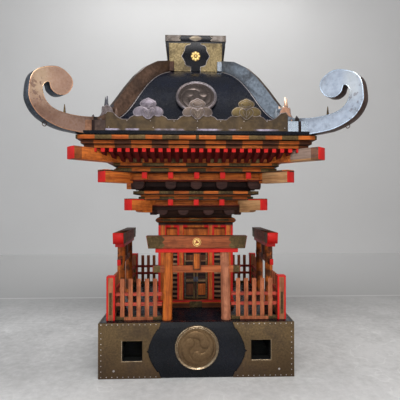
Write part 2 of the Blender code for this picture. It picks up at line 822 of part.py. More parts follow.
def make_cornice():
    low = BODY_TOP + GAP
    high = low + CORNICE_HEIGHT
    shoulder = CORNICE_HALF - CORNICE_ROUNDING
    profile = ((0, high), (shoulder, high), (CORNICE_HALF, high - CORNICE_ROUNDING))
    profile += ((CORNICE_HALF, low + CORNICE_ROUNDING), (shoulder, low), (0, low))
    part(turned("cornice", profile, 4), "cornice", "dark_wood")


def make_lower_tier():
    brackets = bracket_slab("brackets_lower", LOWER_BRACKET_STEPS, LOWER_TIER_LEVEL - GAP)
    part(brackets, "brackets_lower", "dark_wood")
    beam_half, beam_height = LOWER_BEAM
    beam_top = LOWER_TIER_LEVEL + beam_height
    band_half, band_low, band_height = LOWER_BAND_ONE
    top_half, top_low, top_height = LOWER_BAND_TWO
    neck = band_half - BAND_NECK
    slab = stepped_slab("tier_lower", [
        (beam_half, LOWER_TIER_LEVEL, beam_top), (beam_half - BEAM_NECK, beam_top, band_low),
        (band_half, band_low, band_low + band_height), (neck, band_low + band_height, top_low),
        (top_half, top_low, top_low + top_height)])
    pieces = corner_beams(
        LOWER_CORNER_BEAM, beam_half - BEAM_SEAT, BEAM_HAUNCH, LOWER_BRACKET_STEPS[-1][0] + GAP)
    pieces += arm_ends(LOWER_ARMS, beam_half - OVERLAP)
    top = top_low + top_height
    for turn in (0, 1):
        half = top_half + LOWER_BAND_END
        low = (-half, -top_half, top_low + NOSING_MARGIN)
        nosing = block("nosing", low, (half, top_half, top - NOSING_MARGIN))
        nosing.data.transform(quarter_turn(turn))
        pieces.append(nosing)
    part(join(slab, *pieces), "tier_lower", "orange_wood")


def make_middle_tier():
    brackets = bracket_slab("brackets_middle", MIDDLE_BRACKET_STEPS, MIDDLE_TIER_LEVEL - GAP)
    part(brackets, "brackets_middle", "dark_wood")
    beam_half, beam_height = MIDDLE_BEAM
    beam_top = MIDDLE_TIER_LEVEL + beam_height
    band_half, band_low, band_height = MIDDLE_BAND_ONE
    top_half, top_low, top_height = MIDDLE_BAND_TWO
    neck = band_half - BAND_NECK
    slab = stepped_slab("tier_middle", [
        (beam_half, MIDDLE_TIER_LEVEL, beam_top), (beam_half - BEAM_NECK, beam_top, band_low),
        (band_half, band_low, band_low + band_height), (neck, band_low + band_height, top_low),
        (top_half, top_low, top_low + top_height)])
    pieces = corner_beams(MIDDLE_CORNER_BEAM, beam_half - BEAM_SEAT)
    pieces += arm_ends(MIDDLE_ARMS, beam_half - OVERLAP)
    part(join(slab, *pieces), "tier_middle", "orange_wood")


# Eaves
def make_eave_support():
    reach, level, height, width = UPPER_CORNER_BEAM
    top = EAVE_STEPS[0][1] - GAP
    slab = stepped_slab("eave_support", [(EAVE_SUPPORT_HALF, EAVE_SUPPORT_LEVEL, top)])
    spec = (reach, level, top - level, width)
    beams = corner_beams(spec, EAVE_SUPPORT_HALF - BEAM_SEAT)
    part(join(slab, *beams), "eave_support", "orange_wood")


def make_rafters():
    inner = EAVE_SUPPORT_HALF + GAP
    run = RAFTER_REACH - inner
    slope = atan2(RAFTER_END_LEVEL - RAFTER_INNER_LEVEL, run)
    top = EAVE_STEPS[0][1] - GAP
    roof_board = top - RAFTER_INNER_LEVEL
    first = -(RAFTER_COUNT - 1) / 2 * RAFTER_PITCH
    outline = []
    for index in range(RAFTER_COUNT):
        middle = first + index * RAFTER_PITCH
        left = middle - RAFTER_WIDTH / 2
        right = middle + RAFTER_WIDTH / 2
        outline += [(left, RAFTER_DEPTH), (left, 0), (right, 0), (right, RAFTER_DEPTH)]
    edge = outline[-1][0]
    outline[0] = (-edge, RAFTER_DEPTH)
    comb_outline = outline[1:-1] + [(edge, roof_board), (-edge, roof_board)]
    length = 3 * run
    place = Matrix.Translation((0, -RAFTER_REACH, RAFTER_END_LEVEL))
    place = place @ Matrix.Rotation(-slope, 4, "X") @ Matrix.Rotation(radians(90), 4, "X")
    comb = flat_shape("rafters", [comb_outline], length, place)
    wide = BASE_SIDE
    high = 2 * BASE_SIDE
    tools = [
        block("front", (-wide, -wide, 0), (wide, -RAFTER_REACH, high)),
        block("back", (-wide, -inner, 0), (wide, wide, high)),
        block("top", (-wide, -wide, top), (wide, wide, high)),
    ]
    reach, level, height, width = UPPER_CORNER_BEAM
    half = width / 2 + GAP
    for side in (-1, 1):
        # Clears the corner beam and everything past the diagonal
        outer = [(0, -half), (wide, -half), (wide, wide), (0, wide)]
        if side > 0:
            outer = [(0, half), (0, -wide), (wide, -wide), (wide, half)]
        turn = Matrix.Rotation(radians(-135 if side < 0 else -45), 4, "Z")
        flip = [(across, -up) for across, up in outer][::-1]
        tool = flat_shape("mitre", [flip], high, turn @ Matrix.Translation((0, 0, level)))
        tools.append(tool)
    four_sides(cut(comb, *tools), "rafters", "vermilion")


def make_eave_moulding():
    steps = []
    for index, (half, low, height) in enumerate(EAVE_STEPS):
        steps.append((half, low, low + height))
        if index + 1 < len(EAVE_STEPS):
            steps.append((half - EAVE_GROOVE, low + height, EAVE_STEPS[index + 1][1]))
    part(stepped_slab("eave_moulding", steps), "eave_moulding", "orange_wood")


# Roof
def roof_line():
    pulls = (ROOF_LINE_FOOT_PULL, ROOF_LINE_HEAD_PULL)
    return swept_line(ROOF_LINE_FOOT, *pulls, ROOF_LINE_HEAD, ROOF_LINE_STEPS)


def roof_outside(swell=0.0):
    line = roof_line()
    edge = ROOF_EDGE_HALF + swell
    outside = [(0, ROOF_TOP_LEVEL + swell)]
    outside += [(across + swell, up + swell) for across, up in reversed(line)]
    outside += [(edge, ROOF_FOOT + ROOF_EDGE_HEIGHT + swell), (edge, ROOF_FOOT - swell)]
    return outside


def make_roof():
    outside = roof_outside()
    rim = ROOF_EDGE_HALF - ROOF_RIM
    inside = [(rim, ROOF_FOOT)]
    for across, up in roof_line():
        if across - ROOF_THICKNESS < rim:
            inside.append((across - ROOF_THICKNESS, up - ROOF_THICKNESS))
    inside.append((0, ROOF_TOP_LEVEL - ROOF_THICKNESS))
    part(turned("roof", outside + inside, 4), "roof", "black_lacquer")


def roof_cutter():
    outside = roof_outside(GAP)
    return turned("roof_cutter", outside + [(0, ROOF_FOOT - GAP)], 4)


def eave_cutter():
    half, low, height = EAVE_STEPS[-1]
    return stepped_slab("eave_cutter", [(half + GAP, EAVE_STEPS[0][1], low + height + GAP)])


def make_ridges():
    crest_line = swept_line(RIDGE_FOOT, RIDGE_FOOT_PULL, RIDGE_HEAD_PULL, RIDGE_HEAD, RIDGE_STEPS)
    top = [(across * sqrt(2), up) for across, up in crest_line]
    foot = [(RIDGE_FOOT[0] * sqrt(2), ROOF_LINE_FOOT[1] - RIDGE_SINK)]
    foot.append((RIDGE_ROOT * sqrt(2), ROOF_LINE_FOOT[1]))
    foot.append((RIDGE_HEAD[0] * sqrt(2), RIDGE_HEAD[1] - 2 * RIDGE_SINK))
    outline = top + foot[::-1]
    ridge = flat_shape("ridge", [outline], RIDGE_WIDTH, along_diagonal())
    ridge = join(ridge, *fins(), solver="MANIFOLD")
    ridge = cut(ridge, roof_cutter(), solver="MANIFOLD")
    four_sides(ridge, "hip_ridge", "copper", CORNERS)


# Two upright leaf plates at the foot of each ridge, one facing each way
def fins():
    foot = ROOF_LINE_FOOT[1] - RIDGE_SINK / 2
    rise = FIN_TOP - foot
    lobe = FIN_WIDTH / 2
    inner = FIN_AT + RIDGE_WIDTH / 2
    outer = inner - RIDGE_WIDTH / 2 - FIN_WIDTH
    outline = [(-inner, foot), (-outer, foot)]
    for step in range(5):
        angle = pi / 2 * step / 4
        level = foot + rise * (FIN_SHOULDER + FIN_BULGE * sin(angle * 2))
        outline.append((-outer - lobe * sin(angle) * 0.6, level))
    outline.append((-inner + lobe * 0.6, foot + rise * FIN_NECK))
    outline.append((-inner + lobe * 0.2, foot + rise))
    outline.append((-inner, foot + rise * (FIN_NECK - 0.1)))
    front = flat_shape("fin", [outline], FIN_THICKNESS, facing_front(FIN_AT))
    mirror = Matrix(((0, 1, 0, 0), (1, 0, 0, 0), (0, 0, 1, 0), (0, 0, 0, 1)))
    side = new_object("fin_side", front.data.copy())
    side.data.transform(mirror)
    side.data.flip_normals()
    return [front, side]


def scroll_outline():
    points = []
    for x, z in SCROLL_SHAPE:
        points.append((SCROLL_ROOT + x * SCROLL_REACH, SCROLL_FOOT + z * SCROLL_RISE))
    count = len(points)
    root = (SCROLL_ROOT, SCROLL_FOOT)
    outline = [root]
    for index in range(count - 1):
        previous = Vector(points[max(index - 1, 0)])
        start = Vector(points[index])
        end = Vector(points[index + 1])
        following = Vector(points[min(index + 2, count - 1)])
        for share in (0.0, 0.5):
            pull = (end - previous) / 2
            push = (following - start) / 2
            t = share
            point = (2 * t ** 3 - 3 * t * t + 1) * start + (t ** 3 - 2 * t * t + t) * pull
            point += (3 * t * t - 2 * t ** 3) * end + (t ** 3 - t * t) * push
            outline.append(tuple(point))
    outline.append(points[-1])
    return outline


def make_scrolls():
    arm = flat_shape("scroll", [scroll_outline()], SCROLL_THICKNESS, along_diagonal())
    spike_foot = SCROLL_FOOT + SPIKE_FOOT
    place = Matrix.Rotation(radians(-135), 4, "Z") @ Matrix.Translation((SPIKE_AT, 0, spike_foot))
    spike = cone("spike", SPIKE_DIAMETER, SPIKE_DIAMETER / 4, SPIKE_HEIGHT, 6, place)
    arm = cut(join(arm, spike, solver="MANIFOLD"), roof_cutter(), eave_cutter(), solver="MANIFOLD")
    four_sides(arm, "scroll_arm", "copper", CORNERS)


def make_roof_crests():
    line = roof_line()
    low = Vector(line[3])
    high = Vector(line[6])
    along = (high - low).normalized()
    outward = Vector((along.y, -along.x))
    proud = max((Vector(point) - low).dot(outward) for point in line[2:8])
    middle = (low + high) / 2 + outward * (proud + GAP)
    tilt = atan2(outward.x, outward.y)
    place = Matrix.Translation((0, -middle.x, middle.y)) @ Matrix.Rotation(tilt, 4, "X")
    place_crests("roof_crest", "copper", place)


def flower(middle, foot, rise, lobe):
    points = [(middle + FLOWER_FOOT, foot)]
    centres = ((FLOWER_SPREAD, SIDE_LOBE_SHARE), (0.0, 1.0), (-FLOWER_SPREAD, SIDE_LOBE_SHARE))
    spans = ((-60, 110), (0, 180), (70, 240))
    for (across, share), (start, end) in zip(centres, spans):
        for step in range(LOBE_STEPS + 1):
            angle = radians(start + (end - start) * step / LOBE_STEPS)
            x = middle + across + lobe * cos(angle)
            points.append((x, foot + (rise - lobe) * share + lobe * sin(angle)))
    points.append((middle - FLOWER_FOOT, foot))
    return points


def make_eave_bands():
    foot = ROOF_FOOT + GAP
    top = foot + BAND_HEIGHT
    half = BAND_LENGTH / 2
    outline = [(-half, foot), (half, foot), (half, top)]
    for middle in (FLOWER_SPACING, 0, -FLOWER_SPACING):
        outline += flower(middle, top, FLOWER_RISE, FLOWER_LOBE)
    outline.append((-half, top))
    distance = ROOF_EDGE_HALF + GAP + BAND_THICKNESS / 2
    band = flat_shape("eave_band", [outline], BAND_THICKNESS, facing_front(distance))
    four_sides(band, "eave_band", "brass")


# Top
def make_top():
    foot = TOP_BOX_FOOT
    foot_half = TOP_BOX_FOOT_SIDE / 2
    head_half = TOP_BOX_HEAD_SIDE / 2
    under = TOP_BOX_TOP - TOP_BOX_WALL
    profile = ((0, TOP_BOX_TOP), (head_half, TOP_BOX_TOP), (foot_half, foot))
    profile += ((foot_half - TOP_BOX_WALL, foot), (head_half - TOP_BOX_WALL, under), (0, under))
    part(turned("top_box", profile, 4), "top_box", "black_lacquer")
    half = LID_SIDE / 2
    low = TOP_BOX_TOP + GAP
    lid = block("top_lid", (-half, -half, low), (half, half, low + LID_HEIGHT))
    part(lid, "top_lid", "brass")


make_base()
make_corner_plates()
make_base_crests()
make_fence()
make_gateways()
make_body_frame()
make_walls()
make_doors()
make_cornice()
make_lower_tier()
make_middle_tier()
make_eave_support()
make_rafters()
make_eave_moulding()
make_roof()
make_ridges()
make_scrolls()
make_roof_crests()
make_eave_bands()
make_top()
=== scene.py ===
import json
from math import atan2, cos, hypot, pi, radians, sin, sqrt
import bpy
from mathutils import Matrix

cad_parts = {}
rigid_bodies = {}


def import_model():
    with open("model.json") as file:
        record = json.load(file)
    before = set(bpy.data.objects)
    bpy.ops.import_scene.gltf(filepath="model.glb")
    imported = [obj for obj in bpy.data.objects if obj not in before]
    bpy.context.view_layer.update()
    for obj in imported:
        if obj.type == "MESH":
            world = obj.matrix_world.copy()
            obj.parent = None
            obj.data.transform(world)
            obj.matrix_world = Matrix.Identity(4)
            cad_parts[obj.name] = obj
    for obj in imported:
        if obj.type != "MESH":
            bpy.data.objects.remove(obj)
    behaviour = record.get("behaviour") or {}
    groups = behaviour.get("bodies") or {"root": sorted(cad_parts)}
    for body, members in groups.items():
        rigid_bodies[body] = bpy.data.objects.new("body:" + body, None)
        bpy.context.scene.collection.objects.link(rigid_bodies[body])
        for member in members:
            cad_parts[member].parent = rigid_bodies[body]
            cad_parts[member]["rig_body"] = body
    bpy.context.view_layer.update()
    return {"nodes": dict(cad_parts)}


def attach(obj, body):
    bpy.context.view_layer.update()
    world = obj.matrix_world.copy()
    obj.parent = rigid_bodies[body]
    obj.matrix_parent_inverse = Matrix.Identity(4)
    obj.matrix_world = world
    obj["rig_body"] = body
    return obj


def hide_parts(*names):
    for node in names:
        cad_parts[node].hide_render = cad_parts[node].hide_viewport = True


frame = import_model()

from types import SimpleNamespace

import bpy
from mathutils import Matrix, Vector

sideNames = ("front", "right", "back", "left")
cornerNames = ("front_left", "front_right", "back_right", "back_left")
fenceLine = 0.2722    # where fences and gateways stand, out from the middle
print("frame loaded:", len(frame["nodes"]), "nodes")


# Shader wiring: a Wire is one output socket, and sums written on it become Math nodes
class Wire:
    def __init__(self, socket):
        self.socket = socket

    def node(self, kind, settings=None, inputs=None, output=0):
        tree = self.socket.id_data
        made = tree.nodes.new(kind)
        for name, value in (settings or {}).items():
            setattr(made, name, value)
        for name, value in (inputs or {}).items():
            if isinstance(value, Wire):
                tree.links.new(value.socket, made.inputs[name])
            else:
                made.inputs[name].default_value = value
        return Wire(made.outputs[output])

    def maths(self, operation, first, second=0.0):
        return self.node("ShaderNodeMath", {"operation": operation}, {0: first, 1: second})

    def __add__(self, other):
        return self.maths("ADD", self, other)

    def __sub__(self, other):
        return self.maths("SUBTRACT", self, other)

    def __rsub__(self, other):
        return self.maths("SUBTRACT", other, self)

    def __mul__(self, other):
        return self.maths("MULTIPLY", self, other)

    def __mod__(self, other):
        return self.maths("FLOORED_MODULO", self, other)

    def __abs__(self):
        return self.maths("ABSOLUTE", self)

    __radd__ = __add__
    __rmul__ = __mul__


def rgb(red, green, blue):
    values = [level / 255 for level in (red, green, blue)]
    return [v / 12.92 if v <= 0.04045 else ((v + 0.055) / 1.055) ** 2.4 for v in values] + [1]


# Tints are wires, or a colour's three levels out of 255
def mixed(factor, *tints):
    first, second = (tint if isinstance(tint, Wire) else rgb(*tint) for tint in tints)
    return factor.node("ShaderNodeMix", {"data_type": "RGBA"}, {0: factor, 6: first, 7: second}, output=2)


def larger(first, second):
    return first.maths("MAXIMUM", first, second)


def smaller(first, second):
    return first.maths("MINIMUM", first, second)


# 0 below the level and 1 above it, with a soft edge
def above(value, level, soft=0.0003):
    ends = {"Value": value, "From Min": level - soft, "From Max": level + soft}
    return value.node("ShaderNodeMapRange", {"interpolation_type": "SMOOTHSTEP"}, ends)


def between(value, low, high, soft=0.0003):
    return above(value, low, soft) * (1 - above(value, high, soft))


def noise(place, scale, detail=3.0, roughness=0.5):
    settings = {"Vector": place, "Scale": scale, "Detail": detail, "Roughness": roughness}
    return place.node("ShaderNodeTexNoise", {}, settings)


# Measures of a point as seen from its own side: along the side, out from the axis, and up
def measured(place):
    x, y, z = (place.node("ShaderNodeSeparateXYZ", {}, {0: place}, output=axis) for axis in range(3))
    wide, deep = abs(x), abs(y)
    onFront = above(deep - wide, 0, 0.00002)
    along = x * onFront + y * (1 - onFront)
    return SimpleNamespace(
        place=place, x=x, y=y, z=z, along=along, span=smaller(wide, deep), reach=larger(wide, deep),
        diagonal=(wide + deep) * sqrt(0.5), across=abs(wide - deep) * sqrt(0.5))


def newMaterial(name, makeFinish, shine=0.5):
    material = bpy.data.materials.new(name)
    material.use_nodes = True
    tree = material.node_tree
    shader = tree.nodes["Principled BSDF"]
    shader.inputs["Specular IOR Level"].default_value = shine
    place = Wire(tree.nodes.new("ShaderNodeTexCoord").outputs["Object"])
    made = makeFinish(measured(place))
    bump = place.node("ShaderNodeBump", {}, {"Height": made["relief"], "Distance": 1.0, "Strength": 0.8})
    for name, wire in (("Base Color", made["tint"]), ("Roughness", made["rough"]),
                       ("Metallic", made["metal"]), ("Normal", bump)):
        if isinstance(wire, Wire):
            tree.links.new(wire.socket, shader.inputs[name])
        else:
            shader.inputs[name].default_value = wire
    return material


# A finish is a tint, a roughness, a share of metal and a relief in metres
def finished(tint, rough, relief=0.0, metalShare=0.0):
    return {"tint": tint, "rough": rough, "metal": metalShare, "relief": relief}


def layered(mask, under, over):
    made = {"tint": mixed(mask, under["tint"], over["tint"])}
    for channel in ("rough", "metal", "relief"):
        first, second = under[channel], over[channel]
        made[channel] = mask * (second - first) + first
    return made


# Finishes laid on one after another, each inside its mask
def coated(made, *coats):
    for mask, over in coats:
        made = layered(mask, made, over)
    return made


def tinted(made, *coats):
    for mask, tone in coats:
        made = {**made, "tint": mixed(mask, made["tint"], tone)}
    return made


# One finish left of the middle and another right of it
def sided(spot, left, right):
    return layered(above(spot.x, 0, 0.01), left, right)


def halves(left, right):
    return lambda spot: sided(spot, left(spot), right(spot))


# Plain finishes
def lacquer(spot, deep=(8, 9, 13), pale=(20, 22, 30)):
    dust = above(noise(spot.place, 240, 3, 0.7), 0.66, 0.08)
    scuff = noise(spot.place, 70, 3)
    tint = mixed(above(noise(spot.place, 9, 4), 0.5, 0.2), deep, pale)
    tint = mixed(dust * 0.12, tint, (92, 84, 78))
    return finished(tint, 0.2 + scuff * 0.14 + dust * 0.15, scuff * 0.00005)


def metal(spot, pale, deep, tarnish, rough=0.34, cover=0.55, grain=160):
    cloud = noise(spot.place, 17, 4, 0.55)
    speck = noise(spot.place, grain, 4, 0.6)
    patches = above(cloud * 0.75 + speck * 0.25, cover, 0.11)
    tint = mixed(patches * 0.7, mixed(above(speck, 0.5, 0.25), pale, deep), tarnish)
    return finished(tint, rough + speck * 0.12 + patches * 0.16, speck * 0.0001, 0.95 - patches * 0.3)


def grained(spot, axis, pale, mid, deep, rough=0.5, dirt=0.4):
    stretch = {"along": (0.06, 1, 1), "up": (1, 1, 0.06), "corner": (1, 0.06, 1)}[axis]
    sizes = (spot.across, spot.diagonal, spot.z) if axis == "corner" else (spot.along, spot.reach, spot.z)
    parts = {index: size * share for index, (size, share) in enumerate(zip(sizes, stretch))}
    line = spot.place.node("ShaderNodeCombineXYZ", {}, parts)
    fine = noise(line, 300, 4, 0.6)
    wide = noise(line, 70, 3, 0.5)
    grime = above(noise(spot.place, 30, 4, 0.6), 0.56, 0.09)
    tint = mixed(above(wide, 0.5, 0.16), mid, pale)
    tint = mixed(above(fine, 0.55, 0.1) * 0.5, tint, deep)
    tint = mixed(grime * dirt, tint, deep)
    return finished(tint, rough + fine * 0.18 - wide * 0.05, fine * 0.00015)


def sheet(*tones):
    return lambda spot: metal(spot, *tones)


def timber(*tones, axis="along"):
    return lambda spot: grained(spot, axis, *tones)


greenBrass = sheet((118, 98, 66), (92, 76, 50), (58, 46, 32), 0.44, 0.52)
bronze = sheet((108, 88, 77), (86, 68, 58), (58, 44, 38), 0.26, 0.58, 110)
coolSilver = sheet((226, 240, 255), (198, 212, 230), (150, 150, 158), 0.18, 0.62, 90)
greySteel = sheet((128, 134, 142), (100, 106, 112), (64, 64, 68), 0.26, 0.58, 110)


def brass(spot):
    made = metal(spot, (124, 103, 74), (102, 84, 60), (74, 59, 45), 0.4, 0.55)
    # Darker brown towards the bottom, below about 0.14 m: painted shade
    return tinted(made, ((1 - above(spot.z, 0.07, 0.07)) * 0.5, (74, 56, 46)))


def gold(spot):
    return {**metal(spot, (255, 226, 150), (244, 198, 112), (180, 132, 70), 0.3, 0.64), "metal": 0.5}


def copper(spot):
    made = metal(spot, (252, 214, 184), (236, 190, 158), (184, 138, 112), 0.2, 0.6, 110)
    return tinted(made, (above(noise(spot.place, 130, 3, 0.7), 0.66, 0.03) * 0.8, (96, 62, 48)))


def silver(spot):
    made = metal(spot, (168, 160, 158), (138, 128, 124), (104, 92, 86), 0.3, 0.56)
    return tinted(made, (above(noise(spot.place, 5, 2), 0.5, 0.12) * 0.6, (132, 118, 84)))


def engraved(spot):
    line = between((noise(spot.place, 34, 1, 0.4) * 9) % 1, 0.42, 0.58, 0.08)
    made = metal(spot, (160, 143, 108), (126, 111, 80), (80, 68, 50), 0.36, 0.53)
    made["relief"] = made["relief"] - line * 0.0006
    return tinted(made, (line * 0.55, (92, 78, 52)))


def orangeWood(spot, axis="along"):
    return grained(spot, axis, (206, 112, 44), (164, 80, 28), (84, 34, 10))


def brownWood(spot, axis="along"):
    return grained(spot, axis, (112, 62, 34), (78, 42, 24), (38, 20, 12))


def tanWood(spot, axis="along"):
    grey = grained(spot, axis, (148, 126, 114), (124, 101, 87), (84, 64, 50), dirt=0.14)
    warm = grained(spot, axis, (184, 140, 96), (154, 108, 68), (98, 64, 38), dirt=0.16)
    return layered(above(spot.z, 0.68), warm, grey)


def redPaint(spot):
    cloud = noise(spot.place, 40, 3)
    chip = above(noise(spot.place, 190, 4, 0.6), 0.68, 0.04)
    tint = mixed(chip * 0.6, mixed(cloud, (214, 34, 28), (172, 18, 18)), (96, 34, 24))
    return finished(tint, 0.42 + cloud * 0.15, cloud * 0.0001 - chip * 0.0001)


def darkRed(spot):
    cloud = noise(spot.place, 60, 3)
    return finished(mixed(cloud, (98, 18, 14), (50, 10, 10)), 0.55 + cloud * 0.1, cloud * 0.0001)


def shadeBrown(spot):
    cloud = noise(spot.place, 70, 4)
    return finished(mixed(cloud, (44, 26, 22), (20, 12, 12)), 0.5 + cloud * 0.2, cloud * 0.0002)


# Finishes of whole pieces, by place on them. Levels and distances are metres, as in the frame
def segments(spot, period, share, shift=0.0):
    phase = (abs(spot.along) + shift) % period
    return between(phase, period * (1 - share) / 2, period * (1 + share) / 2, 0.0008)


def baseFinish(spot):
    # Faces inside the base, below the deck and round the pole holes, are painted near-black: painted shade in
    # the recesses
    inside = (1 - above(spot.reach, 0.3022)) * (1 - above(spot.z, 0.168))
    return layered(inside, lacquer(spot, (4, 7, 13), (10, 14, 24)), finished((1, 1, 1), 1.0))


def scrollFinish(spot):
    # The copper face is darker brown low down: painted shade
    low = 1 - above(spot.z, 0.825, 0.05)
    curl = (1 - above(spot.diagonal, 0.585, 0.03)) * above(spot.z, 0.85, 0.02)
    # A pale patch on the arm's upper outer curve: painted highlight
    paintedHighlight = between(spot.diagonal, 0.602, 0.646, 0.014) * between(spot.z, 0.838, 0.922, 0.022)
    spots = above(noise(spot.place, 60, 2, 0.7), 0.6, 0.03) * between(spot.diagonal, 0.615, 0.66)
    warm = tinted(copper(spot), (low * 0.7, (142, 98, 74)), (curl * 0.4, (176, 124, 102)),
                  (paintedHighlight * 0.5, (255, 230, 192)), (spots * 0.6, (120, 66, 44)))
    cool = tinted(coolSilver(spot), (paintedHighlight * 0.7, (248, 254, 255)), (spots * 0.5, (120, 112, 116)))
    steel = metal(spot, (96, 104, 116), (64, 70, 80), (36, 38, 44), 0.3)
    brown = metal(spot, (104, 80, 70), (76, 56, 50), (46, 34, 32), 0.34)
    return coated(sided(spot, steel, brown), (above(spot.across, 0.0164, 0.0002), sided(spot, warm, cool)),
                  (1 - above(spot.diagonal, 0.4615, 0.001), shadeBrown(spot)))


def ridgeFinish(spot):
    crown = metal(spot, (104, 82, 68), (78, 58, 48), (50, 38, 32), 0.36)
    fin = sided(spot, metal(spot, (96, 96, 104), (66, 66, 74), (44, 42, 46)), copper(spot))
    return coated(crown, (above(spot.across, 0.0104, 0.0002), sided(spot, bronze(spot), greySteel(spot))),
                  (above(spot.z, 0.85) * above(spot.diagonal, 0.385), fin))


def bandFinish(spot):
    made = metal(spot, (100, 84, 64), (80, 66, 49), (56, 46, 36), 0.42, 0.52, 60)
    return layered(between(spot.z, 0.7925, 0.7945) * 0.5, made, greenBrass(spot))


def stripFinish(spot):
    # The pale violet patches on the strip are a painted reflection
    pale = metal(spot, (190, 182, 202), (140, 130, 150), (90, 78, 88))
    return layered(above(noise(spot.place, 14, 3), 0.52, 0.06), bandFinish(spot), pale)


# The left flower is greyer and the right one greener than the middle one
def flowerFinish(spot):
    left = metal(spot, (140, 132, 142), (104, 96, 104), (70, 62, 66), 0.34, 0.54, 60)
    middle = metal(spot, (122, 108, 100), (94, 82, 74), (64, 52, 46), 0.34, 0.54, 60)
    right = metal(spot, (118, 102, 70), (92, 78, 52), (64, 52, 38), 0.36, 0.54, 60)
    return coated(left, (above(spot.along, -0.07, 0.01), middle), (above(spot.along, 0.07, 0.01), right))


# Side gateways' columns get a darker, mottled brown than the front and back ones: painted shade
def columnFinish(spot):
    wood = orangeWood(spot, "up")
    mottledSideShade = layered(above(noise(spot.place, 26, 3), 0.5, 0.06), wood, brownWood(spot, "up"))
    faded = grained(spot, "up", (190, 124, 92), (152, 92, 66), (92, 48, 30))
    return layered(above(abs(spot.x) - abs(spot.y), 0.0), sided(spot, wood, faded), mottledSideShade)


bodyLevels = {"line": (0.1925, 0.1985), "sill": 0.2003, "rail": (0.3785, 0.399), "cover": (0.3768, 0.4008),
              "head": 0.4662}


def bodyFinish(spot):
    levels = bodyLevels
    outer = between(spot.span, 0.1255, 0.2) + between(spot.span, 0.059, 0.08)
    inner = between(spot.span, 0.09, 0.1095) + between(spot.span, 0.03, 0.0462)
    edge = smaller(outer + inner, 1.0) * above(spot.reach, 0.128)
    red, wood = redPaint(spot), orangeWood(spot)
    sill = coated(brownWood(spot), (1 - above(abs(spot.along), 0.022), greenBrass(spot)),
                  (between(spot.z, *levels["line"]), red))
    rail = layered(between(spot.z, *levels["rail"]), red, wood)
    return coated(orangeWood(spot, "up"), (edge, red), (1 - above(spot.z, levels["sill"]), sill),
                  (between(spot.z, *levels["cover"]) * (1 - above(spot.span, 0.104)), rail),
                  (above(spot.z, levels["head"], 0.004), shadeBrown(spot)))


def wallFinish(spot):
    shade = shadeBrown(spot)
    return coated(orangeWood(spot, "up"), (above(spot.z, 0.455, 0.008), shade),
                  (1 - above(spot.z, 0.3888), shade))


def corniceFinish(spot):
    lines = between(spot.z, 0.4785, 0.481, 0.0006) + between(spot.z, 0.4895, 0.4915, 0.0006)
    return coated(brownWood(spot), (segments(spot, 0.094, 0.5, 0.047), greenBrass(spot)),
                  (lines * 0.8, orangeWood(spot)))


# Bare wood and a red end on the beams that stand out on the diagonals
def beamEnd(spot, made, end, top):
    onCorner = (1 - above(spot.across, 0.024)) * (1 - above(spot.z, top))
    wood = sided(spot, orangeWood(spot, "corner"), tanWood(spot, "corner"))
    return coated(made, (onCorner * above(spot.diagonal, end - 0.095, 0.002), wood),
                  (onCorner * above(spot.diagonal, end - 0.0022), redPaint(spot)))


# Levels of the beam's red-brown foot, of both segmented bands with their period, and of the red blocks
def beamFinish(spot, levels):
    wood, shade, low = orangeWood(spot), shadeBrown(spot), levels["beam"]
    made = layered(between(spot.z, low, low + 0.004), wood, darkRed(spot))
    for start, stop, period in levels["bands"]:
        band = coated(wood, (segments(spot, period, 0.5, period / 2), greenBrass(spot)),
                      (1 - above(spot.z, start + 0.0028), shade))
        made = layered(between(spot.z, start - 0.0004, stop + 0.0004), made, band)
    blocks = between(spot.z, *levels["blocks"]) * above(spot.reach, levels["out"])
    made = layered(blocks, made, redPaint(spot))
    return beamEnd(spot, made, levels["end"] * sqrt(2), levels["bands"][0][0] - 0.0006)


lowerTier = {"beam": 0.5337, "bands": ((0.556, 0.5675, 0.1), (0.5744, 0.5867, 0.1)),
             "blocks": (0.5376, 0.558), "out": 0.2055, "end": 0.2276}
middleTier = {"beam": 0.6187, "bands": ((0.6454, 0.6589, 0.12), (0.6635, 0.6748, 0.14)),
              "blocks": (0.6242, 0.6448), "out": 0.2675, "end": 0.2992}


def eaveSupportFinish(spot):
    end = 0.3726 * sqrt(2)
    made = layered(segments(spot, 0.13, 0.3), orangeWood(spot), greenBrass(spot))
    made = beamEnd(spot, made, end, 1)
    return layered(between(spot.diagonal, end - 0.026, end - 0.0022) * 0.75, made, brownWood(spot))


def rafterFinish(spot):
    return layered(above(spot.reach, 0.3385), darkRed(spot), redPaint(spot))


mouldingSteps = (0.723, 0.7354, 0.7496)


def mouldingFinish(spot):
    wood, shade = orangeWood(spot), shadeBrown(spot)
    upper = layered(segments(spot, 0.1, 0.5, 0.02), greenBrass(spot), wood)
    made = coated(brownWood(spot), (segments(spot, 0.112, 0.55), wood),
                  (above(spot.z, mouldingSteps[1]), upper), (above(spot.z, 0.7492), lacquer(spot)))
    return coated(made, *((between(spot.z, step - 0.0011, step + 0.0011), shade) for step in mouldingSteps))


def doorFinish(spot):
    strip = above(abs(abs(spot.x) - 0.0218), 0.0135)
    return coated(shadeBrown(spot), (strip, greenBrass(spot)), (between(spot.z, 0.262, 0.28), brass(spot)))


def postFinish(spot):
    near = smaller(abs(spot.span - fenceLine), abs(spot.reach - fenceLine))
    edge = larger(above(near, 0.0078), above(spot.z, 0.3092))
    strip = (1 - above(near, 0.0042)) * (1 - above(spot.z, 0.262, 0.002)) * above(spot.z, 0.192)
    wood = grained(spot, "up", (176, 118, 82), (146, 90, 60), (92, 50, 32))
    return coated(wood, (strip, greenBrass(spot)), (edge, redPaint(spot)))


